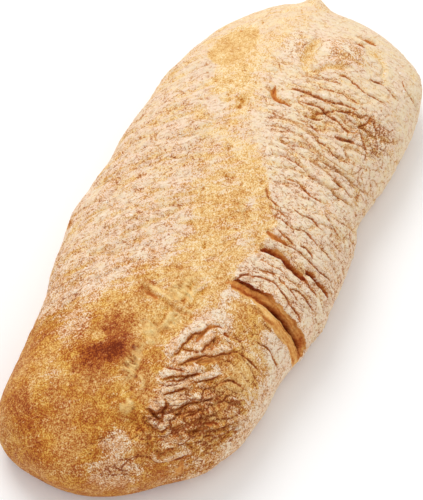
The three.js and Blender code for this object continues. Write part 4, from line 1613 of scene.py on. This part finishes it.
@dataclass(frozen=True)
class SkinGrain(Effect):
    """Grain of the drawn skin: hairlines round small plates, and streaks that run one way."""

    name: str = "skin_grain"

    def inputs(self) -> dict:
        """Place on the skin in mm, the direction in degrees and the sizes in mm."""
        return {"Skin": (0.0, 0.0, 0.0), "Turn": 0.0, "Spacing": 2.0, "Length": 5.0, "Thickness": 0.1}

    def outputs(self) -> tuple:
        """The hairlines as a mask, and the streaks from 0 to 1."""
        return ("Lines", "Streaks")

    def wire(self, wiring: Wiring, given: dict) -> dict:
        """Edges of stretched, wavering cells, broken by noise, and a stretched noise."""
        wander = wiring.node("ShaderNodeTexNoise", {"Vector": given["Skin"], "Scale": 0.6, "Detail": 2.0})
        drift = wiring.scaled(wiring.vector("SUBTRACT", wander.outputs["Color"], (0.5, 0.5, 0.5)), 2.4)
        place = wiring.vector("ADD", given["Skin"], drift)
        angle = wiring.math("MULTIPLY", given["Turn"], -math.pi / 180)
        drawn = wiring.node(
            "ShaderNodeVectorRotate", {"Vector": place, "Angle": angle}, rotation_type="Z_AXIS"
        ).outputs[0]
        sizes = {0: given["Spacing"], 1: given["Length"], 2: given["Length"]}
        cells = wiring.vector("DIVIDE", drawn, wiring.node("ShaderNodeCombineXYZ", sizes).outputs[0])
        edges = wiring.node(
            "ShaderNodeTexVoronoi", {"Vector": cells, "Scale": 1.0},
            voronoi_dimensions="2D", feature="DISTANCE_TO_EDGE",
        ).outputs["Distance"]
        half = wiring.math("MULTIPLY", given["Thickness"], 0.4)
        lines = wiring.step(edges, half, given["Thickness"], 1.0, 0.0)
        kept = wiring.step(wiring.noise(given["Skin"], 0.45, 1.0), 0.42, 0.56)
        streaks = wiring.step(wiring.noise(cells, 0.8, 4.0, 0.65), 0.32, 0.68)
        return {"Lines": wiring.math("MULTIPLY", lines, kept), "Streaks": streaks}


# ---------------- finishes


@dataclass(frozen=True)
class Finish:
    """A matte surface with a material of its own."""

    name: str
    specular: float = 0.2

    def surface(self, wiring: Wiring) -> dict:
        """Colour, roughness and, where it has one, normal, by the shader's own names."""
        return {}

    def build(self) -> bpy.types.Material:
        """Makes the material."""
        material = bpy.data.materials.new(self.name)
        material.use_nodes = True
        material.node_tree.nodes.clear()
        wiring = Wiring(material.node_tree)
        inputs = self.surface(wiring) | {"Specular IOR Level": self.specular}
        shader = wiring.node("ShaderNodeBsdfPrincipled", inputs)
        wiring.node("ShaderNodeOutputMaterial", {"Surface": shader.outputs[0]})
        return material


@dataclass(frozen=True)
class CrustFinish(Finish):
    """Baked crust from pale gold to scorched brown, under an uneven coat of flour.

    Its ramps run from pale to scorched: the bare crust, the flour where it is ivory and where it
    is pink, the fine lines, and the skin inside the folds, whose dark end also serves as painted
    shadow just under the deep fold's flap. Each of the shares is how much of a colour is mixed
    in. The mottles are weights of the mottle group's outputs, edges hold where each mask starts
    and ends in its field, and the rises are heights in mm. Grains of the drawn skin are a
    direction, a spacing and a length, on the smooth and on the wrinkled flank. golden is how
    brown the crust is where it turns golden, calm how little mottle torn skin shows, and rough
    the roughness of flour and of bare crust.
    """

    name: str = "floured_crust"
    baked: tuple = stops(
        (0.0, 248, 228, 192), (0.16, 239, 207, 151), (0.32, 226, 181, 115), (0.48, 205, 148, 80),
        (0.62, 182, 112, 48), (0.78, 160, 78, 34), (1.0, 114, 42, 14),
    )
    ivory: tuple = stops(
        (0.1, 235, 214, 178), (0.32, 246, 236, 218), (0.5, 236, 206, 164), (0.7, 224, 178, 124),
    )
    pink: tuple = stops(
        (0.1, 230, 204, 174), (0.32, 242, 218, 200), (0.5, 230, 188, 146), (0.7, 214, 158, 106),
    )
    line: tuple = stops(
        (0.1, 222, 174, 118), (0.32, 192, 130, 76), (0.5, 156, 80, 34), (0.7, 124, 50, 14),
    )
    crack: tuple = (srgb(194, 116, 52), srgb(130, 54, 18))
    # Skin inside the folds; its darker stops also paint the shadow under the deep fold's flap.
    fold: tuple = stops(
        (0.0, 236, 190, 122), (0.2, 226, 166, 92), (0.4, 208, 136, 68), (0.7, 174, 88, 34),
        (1.0, 124, 42, 10),
    )
    toasted: tuple = srgb(255, 250, 205)
    membrane: tuple = srgb(248, 218, 150)
    cover_share: float = 0.88
    line_shares: tuple = (("fine", 0.6), ("crackle", 0.85))
    crack_share: float = 0.92
    bake_mottle: tuple = (("Blotches", 0.2), ("Specks", 0.2), ("Grains", 0.27))
    fold_mottle: tuple = (("Specks", 0.2), ("Grains", 0.1))
    edge_mottle: tuple = (("Grains", 0.08), ("Specks", 0.12))
    flour_mottle: tuple = (("Grains", 0.4), ("Specks", 0.1))
    flour_streaks: float = 0.62
    flour_edge: Plan = (-0.36, 0.3)
    edges: tuple = (
        ("crackle", Tone.CRACKLE, 0.7, 0.88), ("crack", Tone.CRACK, 0.62, 0.76),
        ("core", Tone.CRACK, 0.76, 0.9), ("bare", Tone.BARE, 0.42, 0.58),
    )
    skin_grains: tuple = ((42.0, 1.7, 8.0), (8.0, 2.0, 5.5))
    hairline: float = 0.12
    cover_rise: float = 0.05
    mottle_rise: tuple = (("Grains", 0.14), ("Specks", 0.1))
    line_rise: tuple = (("streaks", -0.14), ("fine", -0.12), ("crackle", -0.12), ("crack", -0.12))
    rough: Plan = (0.92, 0.66)
    golden: Plan = (0.32, 0.5)
    golden_size: float = 12.5
    calm: float = 0.7
    specular: float = 0.12
    bump_reach: float = 1.0

    def surface(self, wiring: Wiring) -> dict:
        """Wires the crust, the flour on it and the lines, from the bottom up.

        Args:
            wiring: The material's wiring.

        Returns:
            Colour, roughness and normal, by the shader's own names.
        """
        loose = (Tone.GRAINS, Tone.CLUMPS)
        tones = {tone: wiring.attribute(tone.value) for tone in Tone if tone not in loose}
        skin = wiring.attribute("skin", "Vector")
        place = wiring.place_mm()
        mottle = wiring.group(Mottle().tree(), Place=place).outputs
        lines = self.lines(wiring, skin, tones, mottle)
        shade = self.shade(wiring, tones, mottle)
        base = wiring.ramp(shade, self.baked)
        golden = wiring.step(wiring.noise(place, 1 / self.golden_size, 3.0, 0.6), 0.44, 0.58)
        golden = wiring.math("MULTIPLY", golden, wiring.step(tones[Tone.BAKE], *self.golden))
        base = wiring.mix(golden, base, self.toasted, "MULTIPLY")
        base = wiring.mix(wiring.step(tones[Tone.TORN], 0.2, 0.9, 0.0, 0.85), base, self.membrane)
        cover = self.flour_cover(wiring, tones, mottle, lines)
        tint = wiring.math("MULTIPLY_ADD", tones[Tone.WRINKLED], -0.4, 0.4)
        tint = wiring.math("ADD", mottle["Blotches"], tint, clamp=True)
        flour = wiring.mix(tint, wiring.ramp(shade, self.ivory), wiring.ramp(shade, self.pink))
        colour = wiring.mix(wiring.math("MULTIPLY", cover, self.cover_share), base, flour)
        line = wiring.ramp(shade, self.line)
        for name, share in self.line_shares:
            colour = wiring.mix(wiring.math("MULTIPLY", lines[name], share), colour, line)
        crack = wiring.mix(lines["core"], *self.crack)
        colour = wiring.mix(wiring.math("MULTIPLY", lines["crack"], self.crack_share), colour, crack)
        # Bared skin inside the folds, which includes the painted shadow under the deep fold's flap.
        fold = wiring.math("ADD", tones[Tone.FOLD], wiring.centred(mottle, self.fold_mottle))
        colour = wiring.mix(lines["bare"], colour, wiring.ramp(fold, self.fold))
        bare = wiring.math("SUBTRACT", 1.0, cover)
        rough = wiring.step(bare, 0.0, 1.0, *self.rough)
        normal = self.relief(wiring, mottle, cover, lines)
        return {"Base Color": colour, "Roughness": rough, "Normal": normal}

    def lines(self, wiring: Wiring, skin: Socket, tones: dict, mottle: object) -> dict:
        """Masks of the wrinkles and cracks, sharpened from the mesh's own fields.

        Args:
            wiring: The material's wiring.
            skin: Place on the skin in mm.
            tones: The mesh's fields.
            mottle: Outputs of the mottle group.

        Returns:
            The masks, by name.
        """
        grains = [
            wiring.group(
                SkinGrain().tree(), Skin=skin, Turn=turn, Spacing=spacing, Length=length,
                Thickness=self.hairline,
            )
            for turn, spacing, length in self.skin_grains
        ]
        mixed = {
            output: wiring.node("ShaderNodeMix", {
                0: tones[Tone.WRINKLED], 2: grains[0].outputs[output], 3: grains[1].outputs[output],
            }).outputs[0]
            for output in SkinGrain().outputs()
        }
        fine = wiring.math("MULTIPLY", mixed["Lines"], wiring.step(tones[Tone.FLOUR], 0.25, 0.7))
        shake = wiring.centred(mottle, self.edge_mottle)
        masks = {
            name: wiring.step(wiring.math("ADD", tones[tone], shake), low, high)
            for name, tone, low, high in self.edges
        }
        return masks | {"fine": fine, "streaks": mixed["Streaks"]}

    def shade(self, wiring: Wiring, tones: dict, mottle: object) -> Socket:
        """How brown the crust is under the flour.

        Args:
            wiring: The material's wiring.
            tones: The mesh's fields.
            mottle: Outputs of the mottle group.

        Returns:
            The place in the ramp of baked colours.
        """
        uneven = wiring.centred(mottle, self.bake_mottle)
        calm = wiring.math("MULTIPLY_ADD", tones[Tone.TORN], -self.calm, 1.0)
        return wiring.math("MULTIPLY_ADD", uneven, calm, tones[Tone.BAKE])

    def flour_cover(self, wiring: Wiring, tones: dict, mottle: object, lines: dict) -> Socket:
        """How thickly the flour covers the crust.

        Args:
            wiring: The material's wiring.
            tones: The mesh's fields.
            mottle: Outputs of the mottle group.
            lines: Masks of the wrinkles and cracks.

        Returns:
            0 where the crust is bare to 1 where it is covered.
        """
        grit = wiring.weighed(0.0, mottle, self.flour_mottle)
        grit = wiring.math("MULTIPLY_ADD", lines["streaks"], self.flour_streaks, grit)
        return wiring.step(wiring.math("SUBTRACT", tones[Tone.FLOUR], grit), *self.flour_edge)

    def relief(self, wiring: Wiring, mottle: object, cover: Socket, lines: dict) -> Socket:
        """Normal bent by flour, grit and the finest lines.

        Args:
            wiring: The material's wiring.
            mottle: Outputs of the mottle group.
            cover: How thickly the flour covers the crust.
            lines: Masks of the wrinkles and cracks.

        Returns:
            The bent normal.
        """
        height = wiring.math("MULTIPLY", cover, self.cover_rise)
        height = wiring.weighed(height, mottle, self.mottle_rise)
        height = wiring.weighed(height, lines, self.line_rise)
        inputs = {"Height": height, "Distance": MM * self.bump_reach, "Strength": 1.0}
        return wiring.node("ShaderNodeBump", inputs).outputs[0]


@dataclass(frozen=True)
class FlourFinish(Finish):
    """Loose flour, ivory with a little toasted grain in it."""

    name: str = "flour"
    light: tuple = srgb(242, 228, 210)
    toasted: tuple = srgb(232, 206, 178)

    def surface(self, wiring: Wiring) -> dict:
        """Wires the flour's two colours, mixed by grit.

        Args:
            wiring: The material's wiring.

        Returns:
            Colour and roughness, by the shader's own names.
        """
        mottle = wiring.group(Mottle().tree(), Place=wiring.place_mm(), Speck=2.2, Grain=0.9).outputs
        toast = wiring.math("MULTIPLY", mottle["Grains"], mottle["Specks"])
        colour = wiring.mix(wiring.step(toast, 0.1, 0.6), self.light, self.toasted)
        rough = wiring.step(toast, 0.0, 1.0, 0.95, 0.85)
        return {"Base Color": colour, "Roughness": rough}


# ---------------- pieces


def place_in_scene(name: str, data: bpy.types.ID) -> bpy.types.Object:
    """Makes an object of a mesh, a light or a camera and puts it into the scene."""
    thing = bpy.data.objects.new(name, data)
    bpy.context.scene.collection.objects.link(thing)
    return thing


@dataclass
class Crust:
    """The whole crust as one closed piece, which stands for the solid loaf."""

    name: str = "crust_skin"
    form: LoafForm = field(default_factory=LoafForm)
    lattice: SkinLattice = field(default_factory=SkinLattice)
    broad: BroadForm = field(default_factory=BroadForm)
    surface: BakedSurface = field(default_factory=BakedSurface)
    torn: TornSkin = field(default_factory=TornSkin)
    folds: DeepFolds = field(default_factory=DeepFolds)
    cracks: FlankCracks = field(default_factory=FlankCracks)
    straps: Straps = field(default_factory=Straps)
    baking: Baking = field(default_factory=Baking)
    finish: CrustFinish = field(default_factory=CrustFinish)

    def build(self) -> bpy.types.Object:
        """Shapes the crust and dresses it.

        Returns:
            The finished piece.
        """
        points, faces = self.lattice.build(self.form)
        skin = Skin(self.form, points, faces)
        for part in (self.broad, self.surface, self.cracks, self.straps, self.folds):
            part.shape(skin)
        self.baking.paint(skin, self.surface)
        self.torn.shape(skin)
        self.baking.settle(skin)
        piece = self.make_mesh(skin)
        piece.data.materials.append(self.finish.build())
        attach(piece, "root")
        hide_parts("loaf")
        return piece

    def make_mesh(self, skin: Skin) -> bpy.types.Object:
        """Makes the mesh in the frame's place, with its fields.

        Args:
            skin: The shaped skin.

        Returns:
            The new object.
        """
        shaped = skin.shaped() * MM
        low, high = (np.array(corner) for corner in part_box("loaf"))
        shift = (low + high - shaped.min(axis=0) - shaped.max(axis=0)) / 2
        mesh = bpy.data.meshes.new(self.name)
        mesh.from_pydata((shaped + shift * (1, 1, 0)).tolist(), [], skin.faces)
        mesh.polygons.foreach_set("use_smooth", np.ones(len(mesh.polygons), dtype=bool))
        for tone, values in skin.tones.items():
            mesh.attributes.new(tone.value, "FLOAT", "POINT").data.foreach_set("value", values)
        places = np.column_stack([skin.along, skin.around, skin.below])
        mesh.attributes.new("skin", "FLOAT_VECTOR", "POINT").data.foreach_set("vector", places.ravel())
        mesh.update()
        return place_in_scene(self.name, mesh)


@dataclass
class Scatter:
    """Small bits of one kind strewn over the crust by geometry nodes.

    size holds the least and the largest breadth in mm, flatness is height against breadth,
    per_area the bits in a mm2 where the field is full, and rounded bits have more facets.
    """

    name: str
    tone: Tone
    per_area: float
    size: Plan
    flatness: float
    seed: int
    rounded: bool = False

    def sizes(self) -> dict:
        """The tree's named inputs with their values in metres."""
        return {
            "Smallest": self.size[0] * MM,
            "Largest": self.size[1] * MM,
            "Flatness": self.flatness,
            "Per Area": self.per_area / MM**2,
        }

    def bit(self, wiring: Wiring) -> Socket:
        """The shape that is repeated, of radius 1."""
        if self.rounded:
            return wiring.node("GeometryNodeMeshIcoSphere", {"Radius": 1.0, "Subdivisions": 2}).outputs[0]
        return wiring.node("GeometryNodeMeshUVSphere", {"Segments": 5, "Rings": 3, "Radius": 1.0}).outputs[0]

    def tree(self, material: bpy.types.Material) -> bpy.types.NodeTree:
        """The geometry node tree.

        Args:
            material: Finish of the bits.

        Returns:
            The tree, with a named input for each size.
        """
        tree = bpy.data.node_groups.new(self.name, "GeometryNodeTree")
        tree.interface.new_socket("Geometry", in_out="INPUT", socket_type="NodeSocketGeometry")
        for name in self.sizes():
            tree.interface.new_socket(name, in_out="INPUT", socket_type="NodeSocketFloat")
        tree.interface.new_socket("Geometry", in_out="OUTPUT", socket_type="NodeSocketGeometry")
        wiring = Wiring(tree)
        given = wiring.node("NodeGroupInput").outputs
        where = wiring.node("GeometryNodeInputNamedAttribute", {"Name": self.tone.value}, data_type="FLOAT")
        density = wiring.math("MULTIPLY", where.outputs["Attribute"], given["Per Area"])
        spots = wiring.node(
            "GeometryNodeDistributePointsOnFaces",
            {"Mesh": given["Geometry"], "Density": density, "Seed": self.seed},
        )
        draws = [
            wiring.node("FunctionNodeRandomValue", {"Seed": self.seed + turn}, data_type="FLOAT").outputs[1]
            for turn in range(3)
        ]
        span = wiring.math("SUBTRACT", given["Largest"], given["Smallest"])
        radius = wiring.math("MULTIPLY_ADD", wiring.math("POWER", draws[0], 2.0), span, given["Smallest"])
        radius = wiring.math("MULTIPLY", radius, 0.5)
        broad = wiring.math("MULTIPLY", radius, wiring.math("MULTIPLY_ADD", draws[1], 0.7, 0.7))
        thick = wiring.math("MULTIPLY", radius, given["Flatness"])
        scale = wiring.node("ShaderNodeCombineXYZ", {0: broad, 1: radius, 2: thick}).outputs[0]
        spin = wiring.node(
            "ShaderNodeCombineXYZ", {2: wiring.math("MULTIPLY", draws[2], 2 * math.pi)}
        ).outputs[0]
        spun = wiring.node(
            "FunctionNodeRotateRotation",
            {"Rotation": spots.outputs["Rotation"], "Rotate By": spin}, rotation_space="LOCAL",
        )
        laid = wiring.node("GeometryNodeInstanceOnPoints", {
            "Points": spots.outputs["Points"], "Instance": self.bit(wiring),
            "Rotation": spun.outputs[0], "Scale": scale,
        })
        real = wiring.node("GeometryNodeRealizeInstances", {"Geometry": laid.outputs[0]})
        smooth = wiring.node("GeometryNodeSetShadeSmooth", {"Geometry": real.outputs[0]})
        done = wiring.node("GeometryNodeSetMaterial", {"Geometry": smooth.outputs[0], "Material": material})
        wiring.node("NodeGroupOutput", {"Geometry": done.outputs[0]})
        return tree

    def build(self, crust: bpy.types.Object, material: bpy.types.Material) -> bpy.types.Object:
        """Strews the bits over the crust as one plain mesh.

        Args:
            crust: The piece that they lie on.
            material: Their finish.

        Returns:
            The finished piece.
        """
        carrier = place_in_scene(self.name + "_carrier", crust.data.copy())
        modifier = carrier.modifiers.new(self.name, "NODES")
        modifier.node_group = self.tree(material)
        values = self.sizes()
        for item in modifier.node_group.interface.items_tree:
            if item.in_out == "INPUT" and item.name in values:
                modifier[item.identifier] = values[item.name]
        bpy.context.view_layer.update()
        evaluated = carrier.evaluated_get(bpy.context.evaluated_depsgraph_get())
        mesh = bpy.data.meshes.new_from_object(evaluated)
        mesh.name = self.name
        carrier.modifiers.remove(modifier)
        bpy.data.objects.remove(carrier)
        piece = place_in_scene(self.name, mesh)
        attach(piece, "root")
        return piece


@dataclass(frozen=True)
class Studio:
    """Pale floor, soft light and the camera."""

    floor_side: float = 6.0
    floor_colour: tuple = srgb(250, 250, 250)
    floor_roughness: float = 0.9
    sky: float = 0.86
    key_power: float = 4.9
    key_side: float = 0.6
    key_place: tuple = (0.35, 0.45, 1.0)
    azimuth: float = -61.0
    elevation: float = 62.0
    lens: float = 180.0
    distance: float = 1.080
    far_clip: float = 20.0
    target: tuple = (-0.001, -0.001, 0.020)

    def build(self) -> None:
        """Sets up the floor, the light, the camera and the display."""
        self.make_floor()
        self.make_light()
        self.make_camera()
        settings = bpy.context.scene.view_settings
        settings.view_transform = "Standard"
        settings.look = "None"

    def make_floor(self) -> None:
        """Lays the floor at the height of the loaf's base."""
        half = self.floor_side / 2
        corners = [(-half, -half, 0), (half, -half, 0), (half, half, 0), (-half, half, 0)]
        mesh = bpy.data.meshes.new("floor")
        mesh.from_pydata(corners, [], [(0, 1, 2, 3)])
        material = bpy.data.materials.new("floor")
        material.use_nodes = True
        shader = material.node_tree.nodes["Principled BSDF"]
        shader.inputs["Base Color"].default_value = self.floor_colour
        shader.inputs["Roughness"].default_value = self.floor_roughness
        mesh.materials.append(material)
        floor = place_in_scene("floor", mesh)

    def make_light(self) -> None:
        """Hangs one large soft light and fills the rest from all round."""
        world = bpy.data.worlds.new("studio")
        world.use_nodes = True
        world.node_tree.nodes["Background"].inputs["Color"].default_value = (1, 1, 1, 1)
        world.node_tree.nodes["Background"].inputs["Strength"].default_value = self.sky
        bpy.context.scene.world = world
        data = bpy.data.lights.new("key", "AREA")
        data.shape = "DISK"
        data.size = self.key_side
        data.energy = self.key_power
        key = place_in_scene("key", data)
        key.location = self.key_place
        key.rotation_euler = (-Vector(self.key_place)).to_track_quat("-Z", "Y").to_euler()

    def make_camera(self) -> None:
        """Places the camera at the viewing angle."""
        across, up = math.radians(self.azimuth), math.radians(self.elevation)
        back = Vector((math.sin(across) * math.cos(up), -math.cos(across) * math.cos(up), math.sin(up)))
        data = bpy.data.cameras.new("camera")
        data.lens = self.lens
        data.sensor_fit = "AUTO"
        data.clip_end = self.far_clip
        camera = place_in_scene("camera", data)
        camera.location = Vector(self.target) + back * self.distance
        camera.rotation_euler = back.to_track_quat("Z", "Y").to_euler()
        bpy.context.scene.camera = camera


def main() -> None:
    """Builds the studio, then the loaf's pieces in order."""
    logging.basicConfig(level=logging.INFO, format="%(name)s: %(message)s")
    Studio().build()
    crust = Crust().build()
    flour = FlourFinish().build()
    strewn = [
        Scatter("flour_grains", Tone.GRAINS, 0.4, (0.25, 0.6), 0.55, 91).build(crust, flour),
        Scatter("flour_clumps", Tone.CLUMPS, 0.05, (0.6, 1.5), 0.4, 95, rounded=True).build(crust, flour),
    ]
    for piece in (crust, *strewn):
        piece.data.calc_loop_triangles()
        log.info("%s: %d triangles", piece.name, len(piece.data.loop_triangles))
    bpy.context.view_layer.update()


if __name__ == "__main__":
    main()
